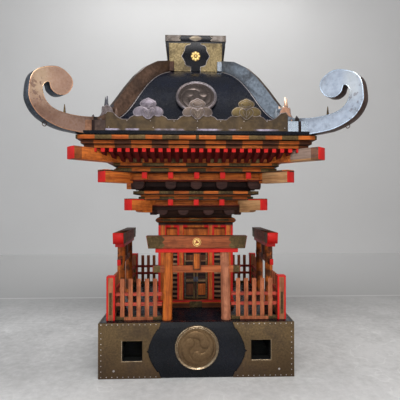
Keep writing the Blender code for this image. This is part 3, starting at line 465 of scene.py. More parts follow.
def lintelFinish(spot):
    border = 0.101 + abs(abs(spot.z - 0.4212) - 0.009) * 0.9
    onEnd = above(spot.span - (spot.z - 0.4015) * 0.168, 0.1531)
    beam = grained(spot, "along", (162, 88, 52), (126, 63, 35), (72, 34, 19))
    return coated(beam, (above(spot.span - border, 0, 0.0006), greenBrass(spot)),
                  (above(spot.z, 0.4398), brownWood(spot)), (onEnd, redPaint(spot)))


def tieFinish(spot):
    beam = grained(spot, "along", (182, 100, 58), (144, 72, 38), (84, 38, 20))
    return coated(beam, (above(spot.span, 0.117, 0.0005), greenBrass(spot)),
                  (above(spot.span, 0.1385), redPaint(spot)))


blueLacquer = newMaterial("blueLacquer", baseFinish, 0.27)
boxLacquer = newMaterial("boxLacquer", lambda spot: lacquer(spot, (5, 6, 14), (12, 14, 26)), 0.22)
roofLacquer = newMaterial("roofLacquer", lambda spot: lacquer(spot, (5, 8, 18), (14, 20, 36)))
deckLacquer = newMaterial("deckLacquer", lacquer, 0.12)
agedBrass = newMaterial("agedBrass", brass)
darkBrass = newMaterial("darkBrass", greenBrass)
engravedBrass = newMaterial("engravedBrass", engraved)
crestBrass = newMaterial("crestBrass", sheet((128, 104, 76), (106, 84, 60), (78, 62, 46), 0.24, 0.58))
rimBrass = newMaterial("rimBrass", sheet((186, 168, 142), (144, 122, 94), (96, 78, 58), 0.2, 0.56))
brightGold = newMaterial("brightGold", gold)
plainBronze = newMaterial("plainBronze", bronze)
paleMetal = newMaterial("paleMetal", silver)
rimSilver = newMaterial("rimSilver", sheet((176, 168, 172), (132, 122, 124), (84, 72, 70), 0.28, 0.56))
crestSilver = newMaterial("crestSilver", sheet((114, 103, 99), (86, 76, 72), (50, 41, 38), 0.2, 0.52, 60))
brightSilver = newMaterial("brightSilver", sheet((214, 208, 208), (176, 168, 168), (110, 98, 94), 0.24, 0.58))
coolSteel = newMaterial("coolSteel", sheet((92, 96, 108), (66, 68, 78), (44, 40, 44), 0.4, 0.56))
lidMetal = newMaterial("lidMetal", sheet((106, 100, 96), (78, 70, 64), (46, 39, 36), 0.36, 0.52, 70))
scrollMetal = newMaterial("scrollMetal", scrollFinish)
ridgeMetal = newMaterial("ridgeMetal", ridgeFinish)
bandMetal = newMaterial("bandMetal", bandFinish)
stripMetal = newMaterial("stripMetal", stripFinish)
flowerMetal = newMaterial("flowerMetal", flowerFinish)
rootMetal = newMaterial("rootMetal", halves(
    sheet((114, 94, 84), (84, 66, 58), (46, 34, 32), 0.34, 0.5, 70), coolSilver))
armFoot = newMaterial("armFoot", halves(
    sheet((178, 134, 108), (146, 104, 80), (90, 58, 42), 0.26, 0.5, 90), coolSilver))
finMetal = newMaterial("finMetal", halves(
    sheet((140, 128, 128), (98, 88, 88), (56, 48, 48), 0.3, 0.52, 80),
    sheet((214, 168, 142), (186, 138, 112), (136, 92, 72), 0.26, 0.6, 110)))
flankMetal = newMaterial("flankMetal", halves(
    sheet((66, 48, 40), (52, 37, 31), (34, 25, 22), 0.36), greySteel))
orangePost = newMaterial("orangePost", lambda spot: orangeWood(spot, "up"), 0.2)
orangeBeam = newMaterial("orangeBeam", orangeWood, 0.2)
brownPost = newMaterial("brownPost", lambda spot: brownWood(spot, "up"), 0.2)
vermilion = newMaterial("vermilion", redPaint, 0.25)
deepShade = newMaterial("deepShade", shadeBrown, 0.15)
warmShade = newMaterial("warmShade", timber((62, 34, 20), (42, 22, 15), (22, 12, 10)), 0.15)
cupWood = newMaterial("cupWood", timber((76, 48, 42), (56, 34, 30), (30, 18, 16)), 0.2)
slatWood = newMaterial("slatWood", timber((172, 138, 106), (128, 92, 66), (70, 42, 30)), 0.2)
railPaint = newMaterial("railPaint", timber((188, 78, 58), (150, 44, 34), (70, 24, 18)), 0.25)
fenceMaterial = newMaterial("fenceWood", timber((184, 110, 74), (154, 84, 54), (92, 44, 26), axis="up"), 0.2)
postMaterial = newMaterial("fencePost", postFinish, 0.2)
lintelMaterial = newMaterial("lintelWood", lintelFinish, 0.2)
tieMaterial = newMaterial("tieWood", tieFinish, 0.2)
columnPaint = newMaterial("columnPaint", columnFinish, 0.2)
print("materials ready")


# Pieces: picking, starting and finishing them
def clearPicks():
    if bpy.context.mode != "OBJECT":
        bpy.ops.object.mode_set(mode="OBJECT")
    bpy.ops.object.select_all(action="DESELECT")


def pick(*pieces):
    clearPicks()
    for piece in pieces:
        piece.select_set(True)
    bpy.context.view_layer.objects.active = pieces[0]


def painted(piece, material):
    piece.data.materials.clear()
    piece.data.materials.append(material)
    return piece


def settle(piece, material=None):
    pick(piece)
    bpy.ops.object.transform_apply(location=True, rotation=True, scale=True)
    return painted(piece, material) if material else piece


def moved(piece, place):
    piece.matrix_world = place @ piece.matrix_world
    return settle(piece)


def copied(piece, place):
    pick(piece)
    bpy.ops.object.duplicate()
    return moved(bpy.context.object, place)


def placed(piece, place):
    piece.data.transform(place)
    return piece


def joined(name, pieces):
    pick(*pieces)
    if len(pieces) > 1:
        bpy.ops.object.join()
    piece = bpy.context.object
    piece.name = piece.data.name = name
    return piece


def editAll():
    bpy.ops.object.mode_set(mode="EDIT")
    bpy.ops.mesh.select_all(action="SELECT")


def closeOutwards():
    bpy.ops.mesh.select_all(action="SELECT")
    bpy.ops.mesh.normals_make_consistent(inside=False)
    bpy.ops.object.mode_set(mode="OBJECT")


def smooth(piece, angle=40):
    pick(piece)
    bpy.ops.object.shade_smooth_by_angle(angle=radians(angle))
    return piece


# Faces that pass the test get a rim, and what is inside the rim rises or sinks
def insetFaces(piece, test, rim, rise):
    pick(piece)
    mesh = piece.data
    for part in (*mesh.vertices, *mesh.edges):
        part.select = False
    for face in mesh.polygons:
        face.select = bool(test(face.center, face.normal))
    bpy.ops.object.mode_set(mode="EDIT")
    bpy.ops.mesh.select_mode(type="FACE")
    bpy.ops.mesh.inset(thickness=rim, depth=rise, use_even_offset=True)
    bpy.ops.object.mode_set(mode="OBJECT")


def pair(middle, half):
    return middle - half, middle + half


# A box on the front side: from end to end, from one distance out to another, and between two levels
def slab(ends, out, levels, material, bevel=0.0008, steps=2):
    clearPicks()
    left, right = sorted(ends)
    back, front = sorted(out)
    low, high = levels
    middle = ((left + right) / 2, -(back + front) / 2, (low + high) / 2)
    bpy.ops.mesh.primitive_cube_add(size=1, location=middle)
    piece = bpy.context.object
    piece.scale = (right - left, front - back, high - low)
    settle(piece, material)
    editAll()
    bpy.ops.mesh.bevel(offset=bevel, segments=steps, affect="EDGES")
    bpy.ops.object.mode_set(mode="OBJECT")
    return piece


# Extrudes what is picked through steps of (half width, level)
def drawUp(steps):
    half, level = steps[0]
    for nextHalf, nextLevel in steps[1:]:
        bpy.ops.mesh.extrude_region_move(TRANSFORM_OT_translate={"value": (0, 0, nextLevel - level)})
        share = nextHalf / half
        bpy.ops.transform.resize(value=(share, share, 1), center_override=(0, 0, nextLevel))
        half, level = nextHalf, nextLevel


# A round piece that grows up through steps of (radius, level)
def turned(steps, sides, material):
    clearPicks()
    radius, level = steps[0]
    bpy.ops.mesh.primitive_circle_add(vertices=sides, radius=radius, fill_type="NGON", location=(0, 0, level))
    piece = settle(bpy.context.object, material)
    editAll()
    drawUp(steps)
    closeOutwards()
    return piece


def curveObject(name, outline, closed, kind="POLY"):
    clearPicks()
    data = bpy.data.curves.new(name, "CURVE")
    spline = data.splines.new(kind)
    points = spline.bezier_points if kind == "BEZIER" else spline.points
    points.add(len(outline) - 1)
    for point, spot in zip(points, outline):
        spot = (*spot, 0)[:3]
        if kind == "BEZIER":
            point.co = spot
            point.handle_left_type = point.handle_right_type = "AUTO"
        else:
            point.co = (*spot, 1)
    spline.use_cyclic_u = closed
    spline.resolution_u = 5
    piece = bpy.data.objects.new(name, data)
    bpy.context.collection.objects.link(piece)
    return piece


def meshed(piece, material):
    pick(piece)
    bpy.ops.object.convert(target="MESH")
    return painted(bpy.context.object, material)


# A flat piece cut to an outline in x and y, its thickness along z
def plate(outline, thickness, material, place=Matrix(), edge=0.0004, kind="POLY"):
    piece = curveObject("plate", outline, True, kind)
    data = piece.data
    data.dimensions = "2D"
    data.fill_mode = "BOTH"
    data.extrude = thickness / 2 - edge
    data.bevel_depth = edge
    data.bevel_resolution = 1
    data.offset = -edge
    return placed(meshed(piece, material), place)


def tube(points, radius, material, closed=False, kind="POLY", radii=(), rounds=2):
    piece = curveObject("tube", points, closed, kind)
    piece.data.dimensions = "3D"
    piece.data.bevel_depth = radius
    piece.data.bevel_resolution = rounds
    piece.data.use_fill_caps = True
    if radii:
        piece.data.splines[0].points.foreach_set("radius", radii)
    return meshed(piece, material)


def wire(points, radius, material, closed=False, kind="POLY"):
    return smooth(tube(points, radius, material, closed, kind), 60)


def ringPoints(radius, count, across=0.0, level=0.0):
    turns = [2 * pi * step / count for step in range(count)]
    return [(across + radius * cos(turn), level + radius * sin(turn), 0) for turn in turns]


# One half of an outline and its mirror image, as one closed loop
def mirrored(points):
    return [*points, *((-x, y) for x, y in reversed(points) if abs(x) > 0.00001)]


# A leaf cut from thin plate, drawn up in the middle, with a fine wire along its edge
def leaf(points, thickness, material, rim=0.0007, puff=0.0022, rise=0.0004, kind="BEZIER"):
    body = plate(points, thickness, material, edge=0.0003, kind=kind)
    front = thickness / 2 - 0.0001
    insetFaces(body, lambda centre, normal: normal.z > 0.9 and centre.z > front, puff, rise)
    edge = wire([(x, y, thickness / 2) for x, y in points], rim, rimSilver, True, kind)
    return joined("leaf", [smooth(body, 50), edge])


def facing(distance, across=0.0, level=0.0, tilt=0.0):
    return Matrix.Translation((across, -distance, level)) @ Matrix.Rotation(radians(90) + tilt, 4, "X")


def turnedBy(angle, axis="Z"):
    return Matrix.Rotation(angle, 4, axis)


def fit(piece, body="root", nodes=()):
    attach(piece, body)
    if nodes:
        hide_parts(*nodes)


# The front piece and its copies on the other sides or corners
def around(piece, title, names=sideNames, nodeNames=()):
    made = [piece] + [copied(piece, turnedBy(turn * pi / 2)) for turn in (1, 2, 3)]
    for piece, name in zip(made, names):
        piece.name = piece.data.name = f"{title}_{name}"
        fit(piece, nodes=[f"{node}_{name}" for node in nodeNames])


def studs(spots, radius, height, material, place=Matrix()):
    clearPicks()
    bpy.ops.mesh.primitive_uv_sphere_add(segments=8, ring_count=6, radius=radius)
    stud = bpy.context.object
    stud.scale = (1, 1, height / radius)
    settle(stud, material)
    made = []
    for spot in spots:
        copy = stud.copy()
        copy.data = stud.data.copy()
        bpy.context.collection.objects.link(copy)
        made.append(placed(copy, place @ Matrix.Translation((*spot, 0))))
    bpy.data.objects.remove(stud)
    return made


# A copy of a node's mesh with its triangles merged and its edges eased
def dressed(node, material, width=0.0008, steps=2):
    source = frame["nodes"][node]
    piece = bpy.data.objects.new(node + "_finished", source.data.copy())
    bpy.context.collection.objects.link(piece)
    painted(piece, material)
    pick(piece)
    editAll()
    bpy.ops.mesh.remove_doubles(threshold=0.00002)
    bpy.ops.mesh.dissolve_limited(angle_limit=radians(0.5))
    bpy.ops.object.mode_set(mode="OBJECT")
    ease = piece.modifiers.new("ease", "BEVEL")
    ease.width = width
    ease.segments = steps
    ease.limit_method = "ANGLE"
    ease.angle_limit = radians(30)
    bpy.ops.object.modifier_apply(modifier="ease")
    fit(smooth(piece, 35), source["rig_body"], [node])


# Base, body, courses and top box keep the solids' shapes, with eased edges
for node, material, slot in (
        ("base_frame", blueLacquer, "black_lacquer"), ("base_deck", deckLacquer, "black_lacquer"),
        ("body_frame", newMaterial("bodyWood", bodyFinish, 0.2), "orange_wood"),
        ("cornice", newMaterial("corniceFinish", corniceFinish, 0.2), "dark_wood"),
        ("brackets_lower", warmShade, "dark_wood"), ("brackets_middle", deepShade, "dark_wood"),
        ("tier_lower", newMaterial("lowerTierWood", lambda spot: beamFinish(spot, lowerTier), 0.2),
         "orange_wood"),
        ("tier_middle", newMaterial("middleTierWood", lambda spot: beamFinish(spot, middleTier), 0.2),
         "orange_wood"),
        ("eave_support", newMaterial("eaveSupportWood", eaveSupportFinish, 0.2), "orange_wood"),
        ("eave_moulding", newMaterial("eaveWood", mouldingFinish, 0.2), "dark_wood"),
        ("top_box", boxLacquer, "black_lacquer"), ("top_lid", boxLacquer, "brass")):
    dressed(node, material, 0.004 if node == "cornice" else 0.0008)
doorMaterial = newMaterial("doorFittings", doorFinish, 0.2)
for node in ("door_left", "door_right"):
    dressed(node, doorMaterial, 0.0004)
wallMaterial = newMaterial("wallBoards", wallFinish, 0.2)
rafterMaterial = newMaterial("rafterPaint", rafterFinish, 0.2)
for name in sideNames:
    dressed(f"body_wall_{name}", wallMaterial)
    dressed(f"rafters_{name}", rafterMaterial, 0.0006, 1)
for name in cornerNames:
    dressed(f"base_corner_plate_{name}", agedBrass, 0.0006)
print("wood and lacquer dressed")


# Crests: a domed disc with a double rim and a whirl of three commas
# The profile's rim steps are shares of the radius and the rim's height, the field's of its own height
crestSizes = {
    "radius": 0.069, "rim": 0.0085, "field": 0.00425, "sides": 72, "rimFrom": 0.865, "base": (0.3033, 0.095),
    "rimSteps": ((1, 0), (1, 0.6), (0.985, 0.9), (0.965, 1), (0.94, 0.9), (0.925, 0.62), (0.91, 0.58),
                 (0.895, 0.72), (0.875, 0.72)),
    "fieldSteps": ((0.855, 1), (0.6, 1.15), (0.3, 1.25), (0.06, 1.28)), "roofGap": 0.0003}


# A comma's start and sweep as angles, then shares of the radius with their powers
whirlSizes = {"start": 0.5, "sweep": radians(172), "head": 0.4, "drift": (0.36, 0.7), "tail": 0.02,
              "swell": (0.23, 0.75)}


# Three commas of tapering tube, each with a round head, flattened by the squash
def whirl(radius, level, squash, material, steps=14, fat=1.0):
    (drift, driftPower), (swell, swellPower) = whirlSizes["drift"], whirlSizes["swell"]
    made = []
    for third in range(3):
        points, widths = [], []
        for step in range(steps + 1):
            share = step / steps
            angle = third * 2 * pi / 3 + whirlSizes["start"] + whirlSizes["sweep"] * share
            distance = radius * (whirlSizes["head"] + drift * share ** driftPower)
            points.append((distance * cos(angle), distance * sin(angle), 0))
            widths.append(radius * fat * (whirlSizes["tail"] + swell * (1 - share) ** swellPower))
        body = tube(points, 1, material, radii=widths, rounds=3)
        clearPicks()
        bpy.ops.mesh.primitive_uv_sphere_add(segments=16, ring_count=8, radius=widths[0], location=points[0])
        comma = smooth(joined("comma", [body, settle(bpy.context.object, material)]), 70)
        made.append(placed(comma, Matrix.Translation((0, 0, level)) @ Matrix.Diagonal((1, 1, squash, 1))))
    return made


def makeCrest(sizes):
    radius, rim, field = sizes["radius"], sizes["rim"], sizes["field"]
    profile = [(radius * out, rim * up) for out, up in sizes["rimSteps"]]
    profile += [(radius * out, field * up) for out, up in sizes["fieldSteps"]]
    disc = smooth(turned(profile, sizes["sides"], crestBrass), 50)
    # The rim faces get a brighter metal than the field: painted highlight
    disc.data.materials.append(rimBrass)
    for face in disc.data.polygons:
        if hypot(face.center.x, face.center.y) > radius * sizes["rimFrom"]:
            face.material_index = 1
    return joined("crest", [disc, *whirl(radius, field * 1.15, rim / radius * 1.5, crestBrass)])


# The roof's line from eave to top box as (half width, level), a Bezier curve like the solid's
roofCurve = {"foot": (0.33, 0.7965), "footPull": (-0.1164, -0.0091), "headPull": (0.1311, -0.044),
             "head": (0.095, 1.031)}


def roofLine(steps):
    foot, footPull, headPull, head = (Vector(point) for point in roofCurve.values())
    controls = (foot, foot + footPull, head + headPull, head)
    line = []
    for step in range(steps + 1):
        t = step / steps
        shares = ((1 - t) ** 3, 3 * t * (1 - t) ** 2, 3 * t * t * (1 - t), t ** 3)
        line.append(sum((share * point for share, point in zip(shares, controls)), Vector((0, 0))))
    return line


# The roof's crest lies on the chord between two points of the line, clear of the bulge between them
def roofCrestPlace(gap):
    line = roofLine(9)
    slope = (line[6] - line[3]).normalized()
    outward = Vector((slope.y, -slope.x))
    proud = max((point - line[3]).dot(outward) for point in line[2:8])
    middle = (line[3] + line[6]) / 2 + outward * (proud + gap)
    return Matrix.Translation((0, -middle.x, middle.y)) @ turnedBy(atan2(outward.x, outward.y), "X")


baseCrest = makeCrest(crestSizes)
roofCrest = copied(baseCrest, roofCrestPlace(crestSizes["roofGap"]))
# On the roof crests too the rims get a brighter metal than the field: painted highlight
for index, material in enumerate((crestSilver, rimSilver)):
    roofCrest.data.materials[index] = material
around(roofCrest, "roof_crest_dome", nodeNames=("roof_crest",))
crestFront, crestLevel = crestSizes["base"]
moved(baseCrest, facing(crestFront, 0, crestLevel))
around(baseCrest, "base_crest_dome", nodeNames=("base_crest",))
print("crests made")


# Fence: boards on end in front of two rails, a foot board with a plinth, and a post at each corner
fenceSizes = {
    "foot": 0.1733, "panel": (0.111, 0.2584), "count": 5, "pitch": 0.026, "picketWidth": 0.0135,
    "picketLevels": (0.1823, 0.3043), "picketOut": (0.0022, 0.0062), "rails": (0.2226, 0.2544),
    "railHeight": 0.0102, "railOut": (-0.0052, 0.0032), "boardOut": (-0.0062, 0.0062), "boardHeight": 0.011,
    "plinthShare": 0.62, "plinthOut": (0.006, 0.0085), "plinthHeight": 0.0095,
    "post": 0.027, "postTop": 0.3133}


def makeFence(sizes):
    foot = sizes["foot"]
    start, end = sizes["panel"]
    half = (end - start) / 2
    parts = []

    def board(middle, half, out, levels, material, bevel=0.0008):
        parts.append(slab(pair(middle, half), [fenceLine + step for step in out], levels, material, bevel))

    for side in (-1, 1):
        middle = side * (start + end) / 2
        for level in sizes["rails"]:
            board(middle, half, sizes["railOut"], pair(level, sizes["railHeight"] / 2), railPaint)
        board(middle, half, sizes["boardOut"], (foot, foot + sizes["boardHeight"]), darkBrass)
        board(middle, half * sizes["plinthShare"], sizes["plinthOut"], (foot, foot + sizes["plinthHeight"]),
              fenceMaterial, 0.0006)
        for index in range(sizes["count"]):
            across = middle + (index - (sizes["count"] - 1) / 2) * sizes["pitch"]
            board(across, sizes["picketWidth"] / 2, sizes["picketOut"], sizes["picketLevels"], fenceMaterial,
                  0.0007)
    half = sizes["post"] / 2
    board(-fenceLine, half, (-half, half), (foot, sizes["postTop"]), postMaterial, 0.0012)
    return joined("fence", parts)


around(makeFence(fenceSizes), "fence_boards", nodeNames=("fence_with_post", "fence_panel"))
print("fence made")


# Gateways: two leaning round columns, a double lintel, a tie beam and a tablet with a gold badge
# Column steps are shares of the foot's or the head's radius, with heights over the foot
gateSizes = {
    "foot": 0.1733, "spacing": 0.189, "lean": 0.0055, "radius": (0.015, 0.014), "head": 0.3883,
    "columnFoot": ((1.06, 0), (1.06, 0.006), (1, 0.0075), (0.985, 0.07)), "columnHead": (1.01, 0.15),
    "under": (0.1315, 0.0132, 0.031), "lintel": (0.1538, 0.1604, 0.4408, 0.0378),
    "tie": (0.1396, (0.3238, 0.3447), 0.013), "tablet": (0.0125, (0.3317, 0.39), (-0.0075, 0.0115)),
    "tabletFace": (0.0085, (0.3367, 0.384), (0.0115, 0.0125)), "badge": (0.4216, 0.0134, 0.019),
    "ring": (0.0128, 0.0007, 0.0192)}


def makeGateway(sizes):
    line, foot, head = fenceLine, sizes["foot"], sizes["head"]
    wide, narrow = sizes["radius"]
    share, height = sizes["columnHead"]
    steps = [(wide * out, up) for out, up in sizes["columnFoot"]]
    steps += [(narrow * share, height), (narrow, head - foot)]
    parts = []
    for side in (-1, 1):
        lean = Matrix.Identity(4)
        lean[0][2] = -side * sizes["lean"] / (head - foot)
        place = Matrix.Translation((side * sizes["spacing"] / 2, -line, foot)) @ lean
        parts.append(smooth(placed(turned(steps, 28, columnPaint), place)))
    half, height, depth = sizes["under"]
    parts.append(slab(pair(0, half), pair(line, depth / 2), (head, head + height), vermilion, 0.0012))
    footHalf, topHalf, top, depth = sizes["lintel"]
    outline = [(-footHalf, head + height), (footHalf, head + height), (topHalf, top), (-topHalf, top)]
    parts.append(plate(outline, depth, lintelMaterial, facing(line), 0.0014))
    half, levels, depth = sizes["tie"]
    parts.append(slab(pair(0, half), pair(line, depth / 2), levels, tieMaterial, 0.001))
    for name, material, bevel in (("tablet", brownPost, 0.0012), ("tabletFace", orangePost, 0.0004)):
        half, levels, out = sizes[name]
        parts.append(slab(pair(0, half), [line + step for step in out], levels, material, bevel))
    level, radius, out = sizes["badge"]
    commas = whirl(radius, 0, 0.35, brightGold, 8, 0.62)
    parts += [placed(comma, facing(line + out, 0, level)) for comma in commas]
    radius, thickness, out = sizes["ring"]
    ring = tube(ringPoints(radius, 24), thickness, brightGold, True)
    return joined("gateway", [*parts, placed(ring, facing(line + out, 0, level))])


around(makeGateway(gateSizes), "gateway_timber", nodeNames=("gateway",))
print("gateways made")


# Roof: a square ring drawn in and up along its swept line
roofSizes = {"edge": 0.356, "foot": 0.7616, "rim": 0.7936, "ease": 0.002, "steps": 24, "shell": 0.012}


def makeRoof(sizes):
    edge, foot, rim, ease = (sizes[name] for name in ("edge", "foot", "rim", "ease"))
    clearPicks()
    bpy.ops.mesh.primitive_circle_add(vertices=4, radius=edge * sqrt(2), location=(0, 0, foot),
                                      rotation=(0, 0, pi / 4))
    roof = settle(bpy.context.object, roofLacquer)
    editAll()
    drawUp([(edge, foot), (edge, rim - ease), (edge - ease, rim), *roofLine(sizes["steps"])])
    bpy.ops.mesh.edge_face_add()
    closeOutwards()
    wall = roof.modifiers.new("wall", "SOLIDIFY")
    wall.thickness = sizes["shell"]
    wall.offset = -1
    bpy.ops.object.modifier_apply(modifier="wall")
    roof.name = roof.data.name = "roof_shell"
    fit(smooth(roof, 30), nodes=["roof"])


makeRoof(roofSizes)

# Hip ridges, and a fine raised line beside each and under the top box
for name in cornerNames:
    dressed(f"hip_ridge_{name}", ridgeMetal)
trimSizes = {
    "inset": 0.0186, "radius": 0.0011, "proud": 0.0004, "collar": 0.0958, "collarProud": 0.0016,
    "collarLevel": 1.029, "cap": ((0.079, 0.104), (0.1002, 0.109), (1.029, 1.065)),
    "finFront": 0.2975, "finDepth": 0.003, "finWire": 0.0007,
    "fin": ((0.318, 0.797), (0.315, 0.806), (0.304, 0.818), (0.297, 0.831), (0.293, 0.846), (0.285, 0.853),
            (0.278, 0.851), (0.272, 0.848), (0.266, 0.84), (0.263, 0.828), (0.263, 0.813), (0.265, 0.797))}


def makeTrim(sizes):
    inset, radius, proud = sizes["inset"], sizes["radius"], sizes["proud"]
    half, level = sizes["collar"] - sizes["inset"], sizes["collarLevel"]
    front = -sizes["collar"] - sizes["collarProud"]
    parts = [wire([(-half, front, level), (half, front, level)], radius, brightSilver)]
    ends, out, levels = sizes["cap"]
    for side in (-1, 1):
        line = [(side * (reach - inset), -reach - proud, rise + proud) for reach, rise in roofLine(22)[1:-1]]
        parts.append(wire(line, radius, brightSilver))
        parts.append(slab([side * x for x in ends], out, levels, flankMetal, 0.001))
        outline = [(side * x, z) for x, z in sizes["fin"]]
        parts.append(plate(outline, sizes["finDepth"], finMetal, facing(sizes["finFront"]), 0.0006))
        line = [(x, -sizes["finFront"] - sizes["finDepth"] / 2, z) for x, z in outline[1:-1]]
        parts.append(wire(line, sizes["finWire"], rimSilver))
    return joined("trim", parts)


around(makeTrim(trimSizes), "roof_trim")

# Scroll arms: one smooth plate on the diagonal with a sunk face, a spike and a wire eye
# The shape's points are shares of the arm's reach and rise, the spike's of its radius and height
scrollSizes = {
    "thickness": 0.034, "root": 0.4467, "reach": 0.208, "foot": 0.7533, "rise": 0.1765, "rim": 0.0022,
    "sunk": 0.0006, "spike": (0.545, 0.7973, 0.034, 0.004), "eye": (0.6045, 0.7648, 0.0058, 0.0012),
    "spikeSteps": ((1, 0), (0.9, 0.3), (0.55, 0.7), (0.25, 1)),
    "shape": ((0, 0), (0.3, 0), (0.6, 0.035), (0.86, 0.17), (0.985, 0.37), (1.000, 0.56), (0.955, 0.79),
              (0.82, 0.93), (0.6, 1.000), (0.43, 0.905), (0.39, 0.76), (0.47, 0.6), (0.6, 0.55),
              (0.7, 0.61), (0.735, 0.715), (0.795, 0.67), (0.815, 0.57), (0.755, 0.4), (0.6, 0.3),
              (0.3, 0.275), (0, 0.315))}
diagonalTurn = turnedBy(radians(-135))


# A smooth line through the points, each span in five parts
def flowing(points):
    last = len(points) - 1
    line = []
    for index in range(last):
        before, start = points[max(index - 1, 0)], points[index]
        end, after = points[index + 1], points[min(index + 2, last)]
        for share in (0.0, 0.2, 0.4, 0.6, 0.8):
            pull, push = (end - before) / 2, (after - start) / 2
            square, cube = share ** 2, share ** 3
            point = (2 * cube - 3 * square + 1) * start + (cube - 2 * square + share) * pull
            line.append(tuple(point + (3 * square - 2 * cube) * end + (cube - square) * push))
    return [*line, tuple(points[last])]


def makeScroll(sizes):
    onDiagonal = diagonalTurn @ turnedBy(radians(90), "X")
    outline = flowing([Vector((sizes["root"] + x * sizes["reach"], sizes["foot"] + z * sizes["rise"]))
                       for x, z in sizes["shape"]])
    arm = plate(outline, sizes["thickness"], scrollMetal, edge=0.0007)
    level = sizes["thickness"] / 2 - 0.0001
    insetFaces(arm, lambda centre, normal: abs(normal.z) > 0.9 and abs(centre.z) > level, sizes["rim"],
               -sizes["sunk"])
    middle, foot, height, radius = sizes["spike"]
    spike = turned([(radius * out, height * up) for out, up in sizes["spikeSteps"]], 10, darkBrass)
    placed(spike, diagonalTurn @ Matrix.Translation((middle, 0, foot)))
    middle, level, radius, thickness = sizes["eye"]
    eye = wire(ringPoints(radius, 20, middle, level), thickness, plainBronze, True)
    return joined("scroll", [placed(smooth(arm, 35), onDiagonal), smooth(spike, 50), placed(eye, onDiagonal)])


around(makeScroll(scrollSizes), "scroll_arm_smooth", cornerNames, ("scroll_arm",))

# Eave bands: a long plate with a shoulder at each end, mounds, and three flowers of five leaves
bandSizes = {
    "front": 0.3593, "depth": 0.003, "foot": 0.7619, "level": 0.796, "flowers": (-0.147, 0.0, 0.147),
    "shoulder": ((-0.2735, 0.7619), (-0.2735, 0.812), (-0.268, 0.82), (-0.252, 0.817), (-0.238, 0.803),
                 (-0.225, 0.7965)),
    "mound": ((-0.0595, 0), (-0.052, 0.0075), (-0.042, 0.012), (-0.034, 0.0125), (-0.014, 0.0155),
              (0, 0.016)),
    "end": 0.2735, "edgeWire": 0.0008, "edgeDrop": 0.0012, "stripProud": 0.001, "stripHeight": 0.0055,
    "backing": 0.3556, "backingDrop": 0.003, "studRadius": 0.0015, "studHeight": 0.0009,
    "studRows": ((7, 0.07, 0.791), (5, 0.132, 0.7711))}    # count, pitch, level
footBlocks = ((0.2739, 0.306, 0.3572, rootMetal), (0.306, 0.315, 0.3564, deepShade),
              (0.315, 0.3566, 0.3572, armFoot))    # near and far end, front, metal
flowerSizes = {
    "top": ((0, 0.063), (0.009, 0.0595), (0.019, 0.0545), (0.025, 0.047), (0.021, 0.0385), (0.011, 0.034),
            (0, 0.032)),
    "side": ((0.012, 0.033), (0.024, 0.036), (0.036, 0.033), (0.045, 0.024), (0.046, 0.015),
             (0.04, 0.009), (0.029, 0.008), (0.02, 0.011), (0.013, 0.02)),
    "leaf": ((0, 0.026), (0.008, 0.031), (0.015, 0.032), (0.0205, 0.026), (0.0215, 0.017),
             (0.013, 0.006), (0, -0.002)),
    "inner": (0.62, 0.0178), "veinRadius": 0.0006, "vein": ((0, 0.002, 0.0024), (0, 0.024, 0.0024)),
    "branch": ((0, 0.004, 0.0024), (0.007, 0.013, 0.0024), (0.0115, 0.024, 0.0022)),
    "raised": 0.0022, "share": 0.94}


# The leaves and veins of one flower, each set a little further out than the one behind
def makeFlower(sizes, front, middle, level):
    top, side = sizes["top"], sizes["side"]
    share, rise = sizes["inner"]
    small = [(x * share, z * share + rise) for x, z in mirrored(top)]
    pieces = [(leaf([(-x, z) for x, z in reversed(side)], 0.0014, flowerMetal), 0.0004),
              (leaf(side, 0.0014, flowerMetal), 0.0004), (leaf(mirrored(top), 0.0016, flowerMetal), 0.0012),
              (leaf(small, 0.001, flowerMetal, 0.0005), 0.0028),
              (leaf(mirrored(sizes["leaf"]), 0.0016, flowerMetal), 0.002),
              (wire(sizes["vein"], sizes["veinRadius"], paleMetal), 0.0016)]
    for way in (-1, 1):
        line = [(way * x, y, z) for x, y, z in sizes["branch"]]
        pieces.append((wire(line, sizes["veinRadius"], paleMetal, kind="BEZIER"), 0.0016))
    scale = Matrix.Scale(sizes["share"], 4)
    level += sizes["raised"]
    return [placed(piece, facing(front + proud, middle, level) @ scale) for piece, proud in pieces]


def makeBand(sizes):
    front, foot, level = sizes["front"], sizes["foot"], sizes["level"]
    outline = list(sizes["shoulder"])
    for middle in sizes["flowers"]:
        outline += [(middle + x, level + z) for x, z in sizes["mound"]]
        outline += [(middle - x, level + z) for x, z in sizes["mound"][-2::-1]]
    outline += [(-x, z) for x, z in reversed(sizes["shoulder"])]
    edge = [(x, -front, z - sizes["edgeDrop"]) for x, z in outline[1:-1]]
    strip = (foot, foot + sizes["stripHeight"])
    parts = [plate(outline, sizes["depth"], bandMetal, facing(front - sizes["depth"] / 2), 0.0006),
             wire(edge, sizes["edgeWire"], rimSilver),
             slab(pair(0, sizes["end"]), (front, front + sizes["stripProud"]), strip, stripMetal, 0.0004)]
    for middle in sizes["flowers"]:
        parts += makeFlower(flowerSizes, front, middle, level)
    for side in (-1, 1):
        for near, far, out, material in footBlocks:
            parts.append(slab((side * near, side * far), (sizes["backing"], out),
                              (foot, level - sizes["backingDrop"]), material, 0.0003, 1))
    spots = []
    for count, pitch, height in sizes["studRows"]:
        spots += [((step - (count - 1) / 2) * pitch, height) for step in range(count)]
    parts += studs(spots, sizes["studRadius"], sizes["studHeight"], brightSilver, facing(front))
    return joined("band", parts)


around(makeBand(bandSizes), "eave_band_flowers", nodeNames=("eave_band",))
print("roof made")


